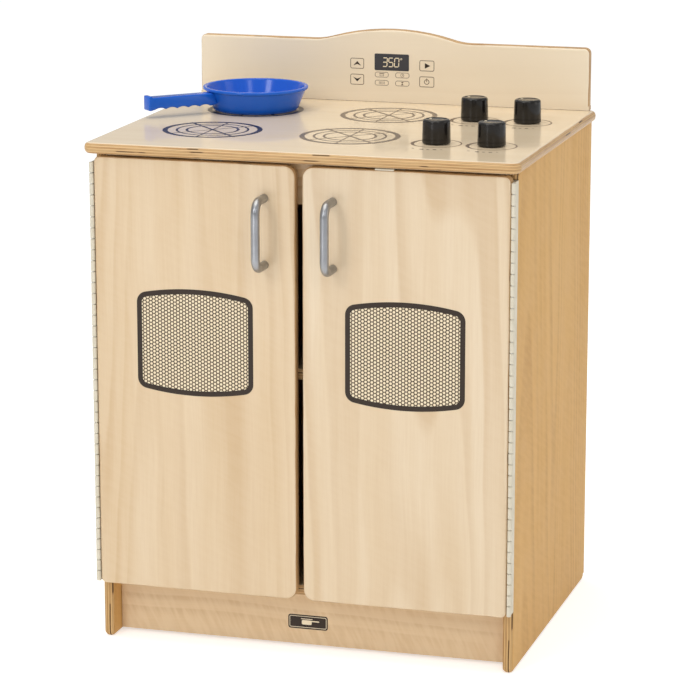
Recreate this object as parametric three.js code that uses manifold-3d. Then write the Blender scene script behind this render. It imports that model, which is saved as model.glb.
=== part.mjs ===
// A wooden play stove: a two-door plywood cabinet with a printed worktop, a low
// backsplash, four turning knobs, two doors on continuous hinges and a toy frying pan.
// Units are millimetres. +X is right and +Z is up. The doors face -Y.
// The origin is the middle of the footprint, on the floor.
import * as THREE from 'three';
import { mergeVertices } from 'three/addons/utils/BufferGeometryUtils.js';
import Module from 'manifold-3d';

const wasm = await Module();
wasm.setup();

// ---- Driving dimensions -------------------------------------------------------
const PLY = 12.7; // thickness of the plywood panels
const GAP = 0.3; // clearance between neighbouring pieces
const OVERHANG = 8; // how far the worktop stands in front of the doors
const SHANK_HOLE = 2.3; // radius of the holes for the large screws
const SMALL_HOLE = 1.6; // radius of the holes for the small screws
const EDGE_ROUND = 5.2; // rounding on the worktop and side panel edges
const SOFT_EDGE = 2.5; // rounding on the door, backsplash and toe kick edges

const TOP = { width: 508, depth: 406, z: 591, corner: 12 };
const CABINET = { width: 494, depth: 381 };
const HANDLE = { reach: 33, radius: 5, bend: 14, centres: 76, x: 40, zLow: 461 };

const OVERALL_DEPTH = TOP.depth - OVERHANG + HANDLE.reach + HANDLE.radius;
const REAR_Y = OVERALL_DEPTH / 2; // rear face of the worktop and side panels
const DOOR_FRONT_Y = REAR_Y - TOP.depth + OVERHANG;
const SIDE_FRONT_Y = REAR_Y - CABINET.depth;

const UNDER_TOP_Z = TOP.z - PLY;
const INNER_X = CABINET.width / 2 - PLY; // inner face of a side panel
const DADO = 4; // depth of the grooves that house the shelf and the bottom

const BOTTOM_Z = 71.4; // underside of the bottom panel
const SHELF_Z = 327; // underside of the middle shelf
const SHELF_FRONT_Y = SIDE_FRONT_Y + 1;
const BACK_PANEL = { thickness: 6, zLow: 4 };
const TOE_KICK = { zLow: 4, setBack: 25.8 };
const RAIL_HEIGHT = 49.5;
const CLEAT = { width: 19, height: 19, start: 40, length: 300 };

const BACKSPLASH = { width: 492, shoulder: 75, arch: 14, archHalf: 87, corner: 7, blend: 24 };

const DOOR = { outerX: 243, innerX: 4, zLow: 71, height: 504, innerCorner: 13, outerCorner: 7 };

const KNUCKLE = 12.7 * 3; // three hinge knuckles grouped into one
const KNUCKLES = 13;
const HINGE = {
  x: 245.8,
  behindFront: 1,
  zLow: 73.1,
  barrel: 2.6,
  bore: 1.55,
  pin: 1.2,
  leaf: 1.2,
  flange: 8.2,
};
const NOTCH = 2.8; // flat cut in the side panel's rounded edge for the hinge flange

const KNOB = { radius: 16.2, topRadius: 15.6, height: 27, lift: 1, round: 2.6 };
const KNOB_COLUMNS = { left: 132, right: 196 };
const ROWS = { front: 100, rear: 275 }; // knob rows, measured back from the door fronts
const BOLT = { radius: 3, up: 18, down: 13.5 };
const WASHER = { radius: 9, thickness: 1.5 };
const NUT = { radius: 5.8, height: 7 };

const CATCH = { x: 107, width: 24, height: 15, depth: 3, zLow: 562 };
const MAGNET = { width: 10, height: 8, depth: 1.6, offset: 5 };
const STRIKE = { width: 22, height: 12, thickness: 1.2 };

const PAN = {
  x: -142,
  back: 284,
  base: 48.5,
  wall: 60.5,
  rim: 63.5,
  height: 29,
  skin: 2.4,
  handleAngle: 225,
  handleEnd: 145,
  handleWidth: 16,
  handleTop: 25.5,
  handleUnder: 10.2,
  wave: 1.3,
  waves: 5,
};

// ---- Finishes -----------------------------------------------------------------
const finish = (color, roughness, metalness = 0) =>
  new THREE.MeshStandardMaterial({ color, roughness, metalness });
const BIRCH = finish(0xe4cfaf, 0.45);
const THIN_PLY = finish(0xd9bf96, 0.6);
const CREAM_STEEL = finish(0xe9e1cd, 0.4, 0.2);
const STEEL = finish(0xa9abad, 0.35, 0.9);
const ZINC = finish(0xb9bcc0, 0.4, 0.9);
const BLACK_PLASTIC = finish(0x15130f, 0.2);
const WHITE_PLASTIC = finish(0xe9e4d6, 0.5);
const MAGNET_GREY = finish(0x3c3c3e, 0.5, 0.4);
const BLUE_PLASTIC = finish(0x1f49ad, 0.25);

// ---- Solid helpers ------------------------------------------------------------
const model = new THREE.Group();

/** Turns a closed geometry into a solid that can be cut and joined. */
function solid(geometry) {
  const bare = geometry.index ? geometry.toNonIndexed() : geometry.clone();
  for (const name of Object.keys(bare.attributes)) {
    if (name !== 'position') bare.deleteAttribute(name);
  }
  const merged = mergeVertices(bare, 1e-4);
  return new wasm.Manifold(
    new wasm.Mesh({
      numProp: 3,
      vertProperties: Float32Array.from(merged.attributes.position.array),
      triVerts: Uint32Array.from(merged.index.array),
    }),
  );
}

/** Turns a solid back into a geometry. */
function geometryOf(body) {
  const mesh = body.getMesh();
  const geometry = new THREE.BufferGeometry();
  geometry.setAttribute('position', new THREE.BufferAttribute(mesh.vertProperties, 3));
  geometry.setIndex(new THREE.BufferAttribute(mesh.triVerts, 1));
  return geometry;
}

/** Adds a named piece to the model. */
function piece(name, body, material, place = [0, 0, 0]) {
  const mesh = new THREE.Mesh(geometryOf(body), material);
  mesh.name = name;
  mesh.position.set(...place);
  model.add(mesh);
}

/** A box between two corners. */
function boxBetween(low, high) {
  const [x, y, z] = [0, 1, 2].map((i) => high[i] - low[i]);
  const geometry = new THREE.BoxGeometry(x, y, z);
  geometry.translate((low[0] + high[0]) / 2, (low[1] + high[1]) / 2, (low[2] + high[2]) / 2);
  return solid(geometry);
}

/** A solid of revolution about +Z from [radius, z] points that start and end on the axis. */
function turned(profile, sides) {
  const points = profile.map(([r, z]) => new THREE.Vector2(r, z));
  const geometry = new THREE.LatheGeometry(points, sides);
  geometry.rotateX(Math.PI / 2);
  return solid(geometry);
}

/** A round bar along +Z between two heights. */
function bar(radius, low, high, sides = 12) {
  return turned([[0, low], [radius, low], [radius, high], [0, high]], sides);
}

/** The same bar laid along +Y. */
function barAlongY(radius, low, high, sides = 12) {
  const length = high - low;
  const geometry = new THREE.CylinderGeometry(radius, radius, length, sides);
  geometry.translate(0, low + length / 2, 0);
  return solid(geometry);
}

/** A rectangle outline with its own radius at each corner: low-low, high-low, high-high, low-high. */
function roundedRectangle(low, high, radii) {
  const [r0, r1, r2, r3] = radii;
  const shape = new THREE.Shape();
  shape.moveTo(low[0] + r0, low[1]);
  shape.lineTo(high[0] - r1, low[1]);
  shape.absarc(high[0] - r1, low[1] + r1, r1, -Math.PI / 2, 0, false);
  shape.lineTo(high[0], high[1] - r2);
  shape.absarc(high[0] - r2, high[1] - r2, r2, 0, Math.PI / 2, false);
  shape.lineTo(low[0] + r3, high[1]);
  shape.absarc(low[0] + r3, high[1] - r3, r3, Math.PI / 2, Math.PI, false);
  shape.lineTo(low[0], low[1] + r0);
  shape.absarc(low[0] + r0, low[1] + r0, r0, Math.PI, Math.PI * 1.5, false);
  return shape;
}

/** A panel of one thickness whose edges are rounded all the way round, from 0 up along +Z. */
function roundedPanel(shape, thickness, round, segments, curveSegments = 4) {
  const geometry = new THREE.ExtrudeGeometry(shape, {
    depth: thickness - 2 * round,
    bevelEnabled: true,
    bevelThickness: round,
    bevelSize: round,
    bevelOffset: -round,
    bevelSegments: segments,
    curveSegments,
  });
  geometry.translate(0, 0, round);
  return geometry;
}

/** Stands a panel drawn in (x, z) upright, with its thickness running back from y. */
function stoodUp(geometry, y, thickness) {
  geometry.rotateX(Math.PI / 2);
  geometry.translate(0, y + thickness, 0);
  return geometry;
}

// ---- Cabinet ------------------------------------------------------------------
/** A side panel with rounded front and bottom edges, grooves, a back rebate and a hinge flat. */
function sidePanel(side) {
  const outerX = CABINET.width / 2;
  const shape = roundedRectangle([SIDE_FRONT_Y, 0], [REAR_Y, UNDER_TOP_Z - GAP], [6.5, 6.5, 6.5, 6.5]);
  const geometry = roundedPanel(shape, PLY, EDGE_ROUND, 3, 3);
  geometry.rotateX(Math.PI / 2);
  geometry.rotateZ(Math.PI / 2);
  geometry.translate(INNER_X, 0, 0);
  const topFlat = boxBetween(
    [INNER_X, SIDE_FRONT_Y + EDGE_ROUND, UNDER_TOP_Z - 20],
    [outerX, REAR_Y, UNDER_TOP_Z - GAP],
  );
  const rearFlat = boxBetween([INNER_X, REAR_Y - 20, 8], [outerX, REAR_Y, UNDER_TOP_Z - GAP]);
  let panel = solid(geometry).add(topFlat).add(rearFlat);
  for (const low of [BOTTOM_Z, SHELF_Z]) {
    const groove = boxBetween(
      [INNER_X - 1, SHELF_FRONT_Y - GAP, low - GAP],
      [INNER_X + DADO, REAR_Y - BACK_PANEL.thickness - 2 * GAP, low + PLY + GAP],
    );
    panel = panel.subtract(groove);
  }
  const rebate = boxBetween(
    [INNER_X - 1, REAR_Y - BACK_PANEL.thickness - 2 * GAP, -1],
    [INNER_X + DADO, REAR_Y + 1, TOP.z],
  );
  const hingeTop = HINGE.zLow + KNUCKLE * KNUCKLES;
  const hingeFlat = boxBetween(
    [INNER_X - 1, SIDE_FRONT_Y - 1, HINGE.zLow - 1],
    [outerX + 1, SIDE_FRONT_Y + NOTCH, hingeTop + 1],
  );
  panel = panel.subtract(rebate).subtract(hingeFlat);
  return side > 0 ? panel : panel.mirror([1, 0, 0]);
}

/** A horizontal panel housed in the grooves of both side panels. */
function housedPanel(low) {
  const half = INNER_X + DADO - GAP;
  const rear = REAR_Y - BACK_PANEL.thickness - 3 * GAP;
  return boxBetween([-half, SHELF_FRONT_Y, low], [half, rear, low + PLY]);
}

function cabinet() {
  piece('side_panel_left', sidePanel(-1), BIRCH);
  piece('side_panel_right', sidePanel(1), BIRCH);
  piece('bottom_panel', housedPanel(BOTTOM_Z), BIRCH);
  piece('middle_shelf', housedPanel(SHELF_Z), BIRCH);

  const backHalf = INNER_X + DADO - GAP;
  const back = boxBetween(
    [-backHalf, REAR_Y - BACK_PANEL.thickness - GAP, BACK_PANEL.zLow],
    [backHalf, REAR_Y - GAP, UNDER_TOP_Z - GAP],
  );
  piece('back_panel', back, THIN_PLY);

  const half = INNER_X - GAP;
  const kickFront = SIDE_FRONT_Y + TOE_KICK.setBack;
  const kick = boxBetween([-half, kickFront, TOE_KICK.zLow], [half, kickFront + PLY, BOTTOM_Z - GAP]);
  piece('toe_kick', kick, BIRCH);

  let rail = boxBetween(
    [-half, SIDE_FRONT_Y, UNDER_TOP_Z - RAIL_HEIGHT],
    [half, SIDE_FRONT_Y + PLY, UNDER_TOP_Z - GAP],
  );
  for (const side of [-1, 1]) {
    const hole = barAlongY(SMALL_HOLE, SIDE_FRONT_Y - 1, SIDE_FRONT_Y + 9, 8);
    const z = CATCH.zLow + CATCH.height / 2;
    rail = rail.subtract(hole.translate([side * (CATCH.x + MAGNET.offset + 1), 0, z]));
  }
  piece('front_top_rail', rail, BIRCH);
}

/** The two cleats under the worktop, each with two screws up into it. */
function cleats() {
  for (const [name, side] of [['left', -1], ['right', 1]]) {
    const inner = INNER_X - GAP - CLEAT.width;
    const start = SIDE_FRONT_Y + CLEAT.start;
    const low = UNDER_TOP_Z - GAP - CLEAT.height;
    let cleat = boxBetween(
      [inner, start, low],
      [INNER_X - GAP, start + CLEAT.length, UNDER_TOP_Z - GAP],
    );
    const middle = inner + CLEAT.width / 2;
    for (const y of cleatScrewRows()) {
      cleat = cleat.subtract(bar(SHANK_HOLE, low - 1, UNDER_TOP_Z + 1, 8).translate([middle, y, 0]));
    }
    piece(`top_cleat_${name}`, side > 0 ? cleat : cleat.mirror([1, 0, 0]), BIRCH);
    cleatScrewRows().forEach((y, i) => {
      const place = [side * middle, y, low - GAP];
      piece(`cleat_screw_${name}_${i + 1}`, woodScrew(CLEAT.height + 9), ZINC, place);
    });
  }
}

const cleatScrewRows = () => [0.25, 0.75].map((t) => SIDE_FRONT_Y + CLEAT.start + CLEAT.length * t);
const cleatScrewX = () => INNER_X - GAP - CLEAT.width / 2;

/** A pan-head screw that points up, with the underside of its head at z = 0. */
function woodScrew(length) {
  const profile = [[0, -2.6], [3, -2.4], [4.2, -1.2], [4.2, 0], [2, 0], [2, length - 3], [0, length]];
  return turned(profile, 8);
}

// ---- Worktop and backsplash ---------------------------------------------------
const backsplashScrews = [-200, 0, 200];
const backsplashY = () => REAR_Y - 1 - PLY / 2;

function worktop() {
  const half = TOP.width / 2;
  const r = TOP.corner;
  const shape = roundedRectangle([-half, REAR_Y - TOP.depth], [half, REAR_Y], [r, r, r, r]);
  const slab = solid(roundedPanel(shape, PLY, EDGE_ROUND, 3, 4));
  const squareRear = boxBetween([-half + r, REAR_Y - 20, 0], [half - r, REAR_Y, PLY]);
  let top = slab.add(squareRear).translate([0, 0, UNDER_TOP_Z]);
  for (const { x, y } of knobPlaces()) {
    top = top.subtract(bar(BOLT.radius + 2 * GAP, UNDER_TOP_Z - 1, TOP.z + 1, 12).translate([x, y, 0]));
  }
  for (const side of [-1, 1]) {
    for (const y of cleatScrewRows()) {
      const pilot = bar(SHANK_HOLE, UNDER_TOP_Z - 1, UNDER_TOP_Z + 9.5, 8);
      top = top.subtract(pilot.translate([side * cleatScrewX(), y, 0]));
    }
  }
  for (const x of backsplashScrews) {
    const shank = bar(SHANK_HOLE, UNDER_TOP_Z - 1, TOP.z + 1, 8);
    const sink = bar(4.6, UNDER_TOP_Z - 1, UNDER_TOP_Z + 3.2, 8);
    top = top.subtract(shank.add(sink).translate([x, backsplashY(), 0]));
  }
  piece('worktop', top, BIRCH);
}

/** The backsplash outline, drawn in (x, z) from the worktop up: square foot, arched top. */
function backsplashShape() {
  const { width, shoulder, arch, archHalf, corner, blend } = BACKSPLASH;
  const half = width / 2;
  const radius = (archHalf * archHalf + arch * arch) / (2 * arch);
  const sweep = Math.asin((archHalf - blend / 2) / radius);
  const shape = new THREE.Shape();
  shape.moveTo(-half, 0);
  shape.lineTo(half, 0);
  shape.lineTo(half, shoulder - corner);
  shape.absarc(half - corner, shoulder - corner, corner, 0, Math.PI / 2, false);
  shape.lineTo(archHalf + blend / 2, shoulder);
  const join = radius * Math.cos(sweep) - radius + arch;
  shape.quadraticCurveTo(archHalf, shoulder, radius * Math.sin(sweep), shoulder + join);
  shape.absarc(0, shoulder + arch - radius, radius, Math.PI / 2 - sweep, Math.PI / 2 + sweep, false);
  shape.quadraticCurveTo(-archHalf, shoulder, -archHalf - blend / 2, shoulder);
  shape.lineTo(-half + corner, shoulder);
  shape.absarc(-half + corner, shoulder - corner, corner, Math.PI / 2, Math.PI, false);
  return shape;
}

function backsplash() {
  const geometry = roundedPanel(backsplashShape(), PLY, SOFT_EDGE, 2, 5);
  stoodUp(geometry, backsplashY() - PLY / 2, PLY);
  const half = BACKSPLASH.width / 2;
  const foot = boxBetween(
    [-half, backsplashY() - PLY / 2, 0],
    [half, backsplashY() + PLY / 2, 2 * SOFT_EDGE],
  );
  let panel = solid(geometry).add(foot).translate([0, 0, TOP.z + GAP]);
  for (const x of backsplashScrews) {
    panel = panel.subtract(bar(SHANK_HOLE, TOP.z - 1, TOP.z + 26, 8).translate([x, backsplashY(), 0]));
  }
  piece('backsplash', panel, BIRCH);
  backsplashScrews.forEach((x, i) => {
    const place = [x, backsplashY(), UNDER_TOP_Z + 3];
    piece(`backsplash_screw_${i + 1}`, woodScrew(PLY - 3 + 22), ZINC, place);
  });
}

// ---- Doors --------------------------------------------------------------------
/** A right-hand door; the left one is its mirror image. */
function doorPanel() {
  const { innerX, outerX, zLow, height, innerCorner, outerCorner } = DOOR;
  const radii = [innerCorner, outerCorner, outerCorner, innerCorner];
  const shape = roundedRectangle([innerX, zLow], [outerX, zLow + height], radii);
  const geometry = stoodUp(roundedPanel(shape, PLY, SOFT_EDGE, 2, 4), DOOR_FRONT_Y, PLY);
  let door = solid(geometry);
  for (const z of handleRows()) {
    const hole = barAlongY(SHANK_HOLE, DOOR_FRONT_Y - 1, DOOR_FRONT_Y + PLY + 1, 8);
    door = door.subtract(hole.translate([HANDLE.x, 0, z]));
  }
  const rear = DOOR_FRONT_Y + PLY;
  const pocket = boxBetween(
    [CATCH.x - STRIKE.width / 2 - GAP, rear - STRIKE.thickness - GAP, strikeZ() - STRIKE.height / 2 - GAP],
    [CATCH.x + STRIKE.width / 2 + GAP, rear + 1, strikeZ() + STRIKE.height / 2 + GAP],
  );
  const pilot = barAlongY(SMALL_HOLE, rear - 9.5, rear + 1, 8).translate([CATCH.x - 5, 0, strikeZ()]);
  return door.subtract(pocket).subtract(pilot);
}

const handleRows = () => [HANDLE.zLow, HANDLE.zLow + HANDLE.centres];
const strikeZ = () => CATCH.zLow + CATCH.height / 2 - 1;

/** A bent-bar pull with a threaded hole up each leg. */
function handleBar() {
  const front = DOOR_FRONT_Y - HANDLE.reach;
  const face = DOOR_FRONT_Y - GAP;
  const [low, high] = handleRows();
  const bend = HANDLE.bend;
  const path = new THREE.CurvePath();
  const line = (a, b) => path.add(new THREE.LineCurve3(new THREE.Vector3(...a), new THREE.Vector3(...b)));
  const turn = (a, b, c) => {
    const [start, middle, end] = [a, b, c].map((p) => new THREE.Vector3(...p));
    const ease = 0.5523;
    const first = start.clone().lerp(middle, ease);
    const second = end.clone().lerp(middle, ease);
    path.add(new THREE.CubicBezierCurve3(start, first, second, end));
  };
  line([0, face, low], [0, front + bend, low]);
  turn([0, front + bend, low], [0, front, low], [0, front, low + bend]);
  line([0, front, low + bend], [0, front, high - bend]);
  turn([0, front, high - bend], [0, front, high], [0, front + bend, high]);
  line([0, front + bend, high], [0, face, high]);
  const section = new THREE.Shape();
  section.absarc(0, 0, HANDLE.radius, 0, Math.PI * 2, false);
  const geometry = new THREE.ExtrudeGeometry(section, {
    steps: 30,
    extrudePath: path,
    curveSegments: 5,
  });
  let pull = solid(geometry);
  for (const z of handleRows()) {
    pull = pull.subtract(barAlongY(SHANK_HOLE, face - 11, face + 2, 8).translate([0, 0, z]));
  }
  return pull;
}

/** A pan-head machine screw along Y: its head bears on the back of the door. */
function handleScrew() {
  const rear = PLY + GAP;
  const profile = [[0, 2.4], [2.6, 2.2], [4, 1], [4, 0], [2, 0], [2, -rear - 9], [0, -rear - 9]];
  const screw = turned(profile.reverse(), 8);
  return screw.rotate([-90, 0, 0]);
}

function doors() {
  for (const [name, side] of [['left', -1], ['right', 1]]) {
    const flip = (body) => (side > 0 ? body : body.mirror([1, 0, 0]));
    piece(`door_${name}`, flip(doorPanel()), BIRCH);
    piece(`handle_${name}`, handleBar(), STEEL, [side * HANDLE.x, 0, 0]);
    ['lower', 'upper'].forEach((level, i) => {
      const place = [side * HANDLE.x, DOOR_FRONT_Y + PLY + GAP, handleRows()[i]];
      piece(`handle_screw_${name}_${level}`, handleScrew(), ZINC, place);
    });
  }
}

// ---- Hinges -------------------------------------------------------------------
/** The knuckles of one leaf: every second one, starting from 0 or 1. */
function knuckleSpans(first) {
  const spans = [];
  for (let i = first; i < KNUCKLES; i += 2) {
    spans.push([HINGE.zLow + i * KNUCKLE + GAP / 2, HINGE.zLow + (i + 1) * KNUCKLE - GAP / 2]);
  }
  return spans;
}

/** One leaf about its own axis at (0, 0): plates joined to knuckles, with cut-outs for the others. */
function leaf(plates, first, webX) {
  const low = HINGE.zLow + GAP / 2;
  const high = HINGE.zLow + KNUCKLES * KNUCKLE - GAP / 2;
  let body = null;
  for (const [from, to] of plates) {
    const plate = boxBetween([...from, low], [...to, high]);
    body = body ? body.add(plate) : plate;
  }
  for (const [start, end] of knuckleSpans(first)) {
    const web = boxBetween([webX, 0, start], [webX + HINGE.leaf, HINGE.barrel + 2, end]);
    body = body.add(web).add(bar(HINGE.barrel, start, end, 10));
  }
  return body.subtract(bar(HINGE.bore, low - 1, high + 1, 8));
}

/** Both leaves and the pin of the right-hand hinge; the left-hand one is the mirror image. */
function hinges() {
  const axisY = DOOR_FRONT_Y + HINGE.behindFront;
  const clear = HINGE.barrel + GAP;
  const flangeY = SIDE_FRONT_Y + NOTCH - GAP - axisY;
  const frameX = -0.2;
  const doorX = DOOR.outerX + GAP - HINGE.x;
  const framePlates = [
    [[frameX, clear], [frameX + HINGE.leaf, flangeY]],
    [[frameX + HINGE.leaf - HINGE.flange, flangeY - HINGE.leaf], [frameX + HINGE.leaf, flangeY]],
  ];
  const doorPlates = [[[doorX, clear], [doorX + HINGE.leaf, PLY - HINGE.behindFront - 0.5]]];
  const low = HINGE.zLow;
  const high = HINGE.zLow + KNUCKLES * KNUCKLE;
  for (const [name, side] of [['left', -1], ['right', 1]]) {
    const flip = (body) => (side > 0 ? body : body.mirror([1, 0, 0]));
    const place = [side * HINGE.x, axisY, 0];
    piece(`hinge_${name}_frame_leaf`, flip(leaf(framePlates, 0, frameX)), CREAM_STEEL, place);
    piece(`hinge_${name}_door_leaf`, flip(leaf(doorPlates, 1, doorX)), CREAM_STEEL, place);
    piece(`hinge_${name}_pin`, bar(HINGE.pin, low, high, 8), STEEL, place);
  }
}

// ---- Magnetic catches ---------------------------------------------------------
function catches() {
  const rear = SIDE_FRONT_Y - GAP;
  const front = rear - CATCH.depth;
  const middleZ = CATCH.zLow + CATCH.height / 2;
  for (const [name, side] of [['left', -1], ['right', 1]]) {
    const flip = (body) => (side > 0 ? body : body.mirror([1, 0, 0]));
    const screwX = CATCH.x + MAGNET.offset + 1;
    const magnetX = CATCH.x - MAGNET.offset;
    let housing = boxBetween(
      [CATCH.x - CATCH.width / 2, front, CATCH.zLow],
      [CATCH.x + CATCH.width / 2, rear, CATCH.zLow + CATCH.height],
    );
    const pocket = boxBetween(
      [magnetX - MAGNET.width / 2 - GAP, front - 1, middleZ - MAGNET.height / 2 - GAP],
      [magnetX + MAGNET.width / 2 + GAP, front + MAGNET.depth + GAP, middleZ + MAGNET.height / 2 + GAP],
    );
    const hole = barAlongY(SMALL_HOLE, front - 1, rear + 1, 8).add(barAlongY(3.2, front - 1, front + 1.6, 8));
    housing = housing.subtract(pocket).subtract(hole.translate([screwX, 0, middleZ]));
    piece(`catch_housing_${name}`, flip(housing), WHITE_PLASTIC);
    const magnet = boxBetween(
      [magnetX - MAGNET.width / 2, front, middleZ - MAGNET.height / 2],
      [magnetX + MAGNET.width / 2, front + MAGNET.depth, middleZ + MAGNET.height / 2],
    );
    piece(`catch_magnet_${name}`, flip(magnet), MAGNET_GREY);
    const screw = flatScrew(11, -1);
    piece(`catch_screw_${name}`, screw, ZINC, [side * screwX, front + 0.2, middleZ]);

    const doorRear = DOOR_FRONT_Y + PLY;
    let strike = boxBetween(
      [CATCH.x - STRIKE.width / 2, doorRear - STRIKE.thickness, strikeZ() - STRIKE.height / 2],
      [CATCH.x + STRIKE.width / 2, doorRear, strikeZ() + STRIKE.height / 2],
    );
    strike = strike.subtract(
      barAlongY(SMALL_HOLE, doorRear - 3, doorRear + 1, 8).translate([CATCH.x - 5, 0, strikeZ()]),
    );
    piece(`strike_plate_${name}`, flip(strike), STEEL);
    const strikeScrew = flatScrew(9, 1, 0.5);
    const place = [side * (CATCH.x - 5), doorRear + 0.2, strikeZ()];
    piece(`strike_screw_${name}`, strikeScrew, ZINC, place);
  }
}

/** A small low-head screw along Y: its head at y = 0, its point towards +Y (-1) or -Y (1). */
function flatScrew(length, facing, head = 1.2) {
  const profile = [[0, head], [2.6, head], [2.6, 0], [1.25, 0], [1.25, 2 - length], [0, -length]];
  const along = facing > 0 ? [-90, 0, 0] : [90, 0, 0];
  const screw = turned([...profile].reverse(), 8).rotate(along);
  return facing > 0 ? screw : screw.translate([0, head, 0]);
}

// ---- Knobs --------------------------------------------------------------------
function knobPlaces() {
  const places = [];
  for (const [row, back] of Object.entries(ROWS)) {
    for (const [column, x] of Object.entries(KNOB_COLUMNS)) {
      places.push({ name: `${row}_${column}`, x, y: DOOR_FRONT_Y + back });
    }
  }
  return places;
}

/** A slightly tapered knob with a rounded top edge and a blind bore for its bolt. */
function knobBody() {
  const { radius, topRadius, height, round } = KNOB;
  const bore = BOLT.radius + GAP;
  const profile = [
    [0, BOLT.up + GAP],
    [bore, BOLT.up + GAP],
    [bore, 0],
    [radius - 0.8, 0],
    [radius, 1],
    [topRadius, height - round],
    [topRadius - round * 0.3, height - round * 0.3],
    [topRadius - round, height],
    [0, height],
  ];
  return turned(profile, 20);
}

/** A flat ring or hexagon with a round hole. */
function ring(radius, hole, height, sides) {
  const profile = [[0, 0], [radius, 0], [radius, height], [0, height]];
  return turned(profile, sides).subtract(bar(hole, -1, height + 1, 12));
}

function knobs() {
  for (const { name, x, y } of knobPlaces()) {
    const base = TOP.z + KNOB.lift;
    const washerZ = UNDER_TOP_Z - GAP - WASHER.thickness;
    const nutZ = washerZ - GAP - NUT.height;
    const boltLow = UNDER_TOP_Z - BOLT.down;
    piece(`knob_${name}`, knobBody(), BLACK_PLASTIC, [x, y, base]);
    piece(`knob_bolt_${name}`, bar(BOLT.radius, boltLow, base + BOLT.up, 12), ZINC, [x, y, 0]);
    const washer = ring(WASHER.radius, BOLT.radius + GAP, WASHER.thickness, 12);
    piece(`knob_washer_${name}`, washer, ZINC, [x, y, washerZ]);
    const nut = ring(NUT.radius, BOLT.radius + GAP, NUT.height, 6);
    piece(`knob_lock_nut_${name}`, nut, ZINC, [x, y, nutZ]);
  }
}

// ---- Frying pan ---------------------------------------------------------------
/** The handle's side outline, drawn in (radius, z): flat top, five finger waves, end flange. */
function handleOutline() {
  const root = PAN.wall - 4;
  const end = PAN.handleEnd;
  const { handleTop: top, handleUnder: under, wave, waves } = PAN;
  const shape = new THREE.Shape();
  shape.moveTo(root, top);
  shape.lineTo(root, under + 1);
  const start = PAN.wall + 3;
  const run = end - 8 - start;
  const steps = 30;
  for (let i = 0; i <= steps; i += 1) {
    const t = i / steps;
    shape.lineTo(start + run * t, under + wave * Math.cos(t * waves * 2 * Math.PI));
  }
  shape.lineTo(end - 7, under - 2);
  shape.lineTo(end, under - 1.5);
  shape.lineTo(end, top + 2);
  shape.lineTo(end - 5, top + 2);
  shape.lineTo(end - 6, top);
  return shape;
}

function pan() {
  const { base, wall, rim, height, skin } = PAN;
  const profile = [
    [0, 0],
    [base - 2, 0],
    [base, 1.2],
    [base + 3.5, 5],
    [wall - 0.6, height - 6],
    [rim, height - 3.6],
    [rim, height - 1],
    [rim - 0.8, height],
    [wall - skin + 0.6, height],
    [wall - skin - 0.8, height - 2],
    [base + 1.5, 5.4],
    [base - 3.5, skin],
    [0, skin],
  ];
  const bowl = turned(profile, 28);
  const geometry = new THREE.ExtrudeGeometry(handleOutline(), {
    depth: PAN.handleWidth - 3,
    bevelEnabled: true,
    bevelThickness: 1.5,
    bevelSize: 1.5,
    bevelOffset: -1.5,
    bevelSegments: 1,
  });
  geometry.translate(0, 0, -(PAN.handleWidth - 3) / 2);
  geometry.rotateX(Math.PI / 2);
  const inside = turned([[0, skin], [base, skin], [wall - skin, height + 1], [0, height + 1]], 28);
  const handle = solid(geometry).subtract(inside.rotate([0, 0, -PAN.handleAngle]));
  const body = bowl.add(handle.rotate([0, 0, PAN.handleAngle]));
  piece('frying_pan', body, BLUE_PLASTIC, [PAN.x, DOOR_FRONT_Y + PAN.back, TOP.z + GAP]);
}

cabinet();
cleats();
worktop();
backsplash();
doors();
hinges();
catches();
knobs();
pan();

export default model;
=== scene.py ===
"""Looks of a wooden play stove: birch ply, printed inks, steel, hinges and moulded plastic."""
import logging
import math
from collections.abc import Sequence
from dataclasses import dataclass, field
from enum import Enum

import bmesh
import bpy
from mathutils import Matrix, Vector


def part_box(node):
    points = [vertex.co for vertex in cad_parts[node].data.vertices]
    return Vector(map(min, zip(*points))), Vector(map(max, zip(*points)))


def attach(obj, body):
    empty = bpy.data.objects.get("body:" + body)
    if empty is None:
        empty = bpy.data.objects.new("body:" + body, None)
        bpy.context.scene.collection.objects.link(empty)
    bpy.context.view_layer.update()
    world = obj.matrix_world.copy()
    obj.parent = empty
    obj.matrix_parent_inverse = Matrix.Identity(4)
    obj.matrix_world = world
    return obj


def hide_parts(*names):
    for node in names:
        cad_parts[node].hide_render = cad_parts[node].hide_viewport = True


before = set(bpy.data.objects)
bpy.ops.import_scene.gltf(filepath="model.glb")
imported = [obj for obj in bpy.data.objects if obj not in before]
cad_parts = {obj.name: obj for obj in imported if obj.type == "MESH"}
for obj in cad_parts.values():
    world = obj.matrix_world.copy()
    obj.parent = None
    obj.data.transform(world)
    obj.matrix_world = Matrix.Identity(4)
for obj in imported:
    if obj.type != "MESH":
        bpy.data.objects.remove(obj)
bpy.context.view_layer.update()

LOG = logging.getLogger("play_stove")
MM = 0.001

Point2 = tuple[float, float]
Colour = tuple[float, float, float]
Socket = bpy.types.NodeSocket
Object = bpy.types.Object
Material = bpy.types.Material


# ---- Shared tools: meshes ----------------------------------------------------------------------
class Facing(Enum):
    """The way a flat face or a screw head looks, as the turn that brings +Z onto it."""

    UP = (0.0, 0.0, 0.0)
    DOWN = (math.pi, 0.0, 0.0)
    FRONT = (math.pi / 2, 0.0, 0.0)
    BACK = (-math.pi / 2, 0.0, 0.0)
    RIGHT = (0.0, math.pi / 2, 0.0)
    LEFT = (0.0, -math.pi / 2, 0.0)


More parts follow.
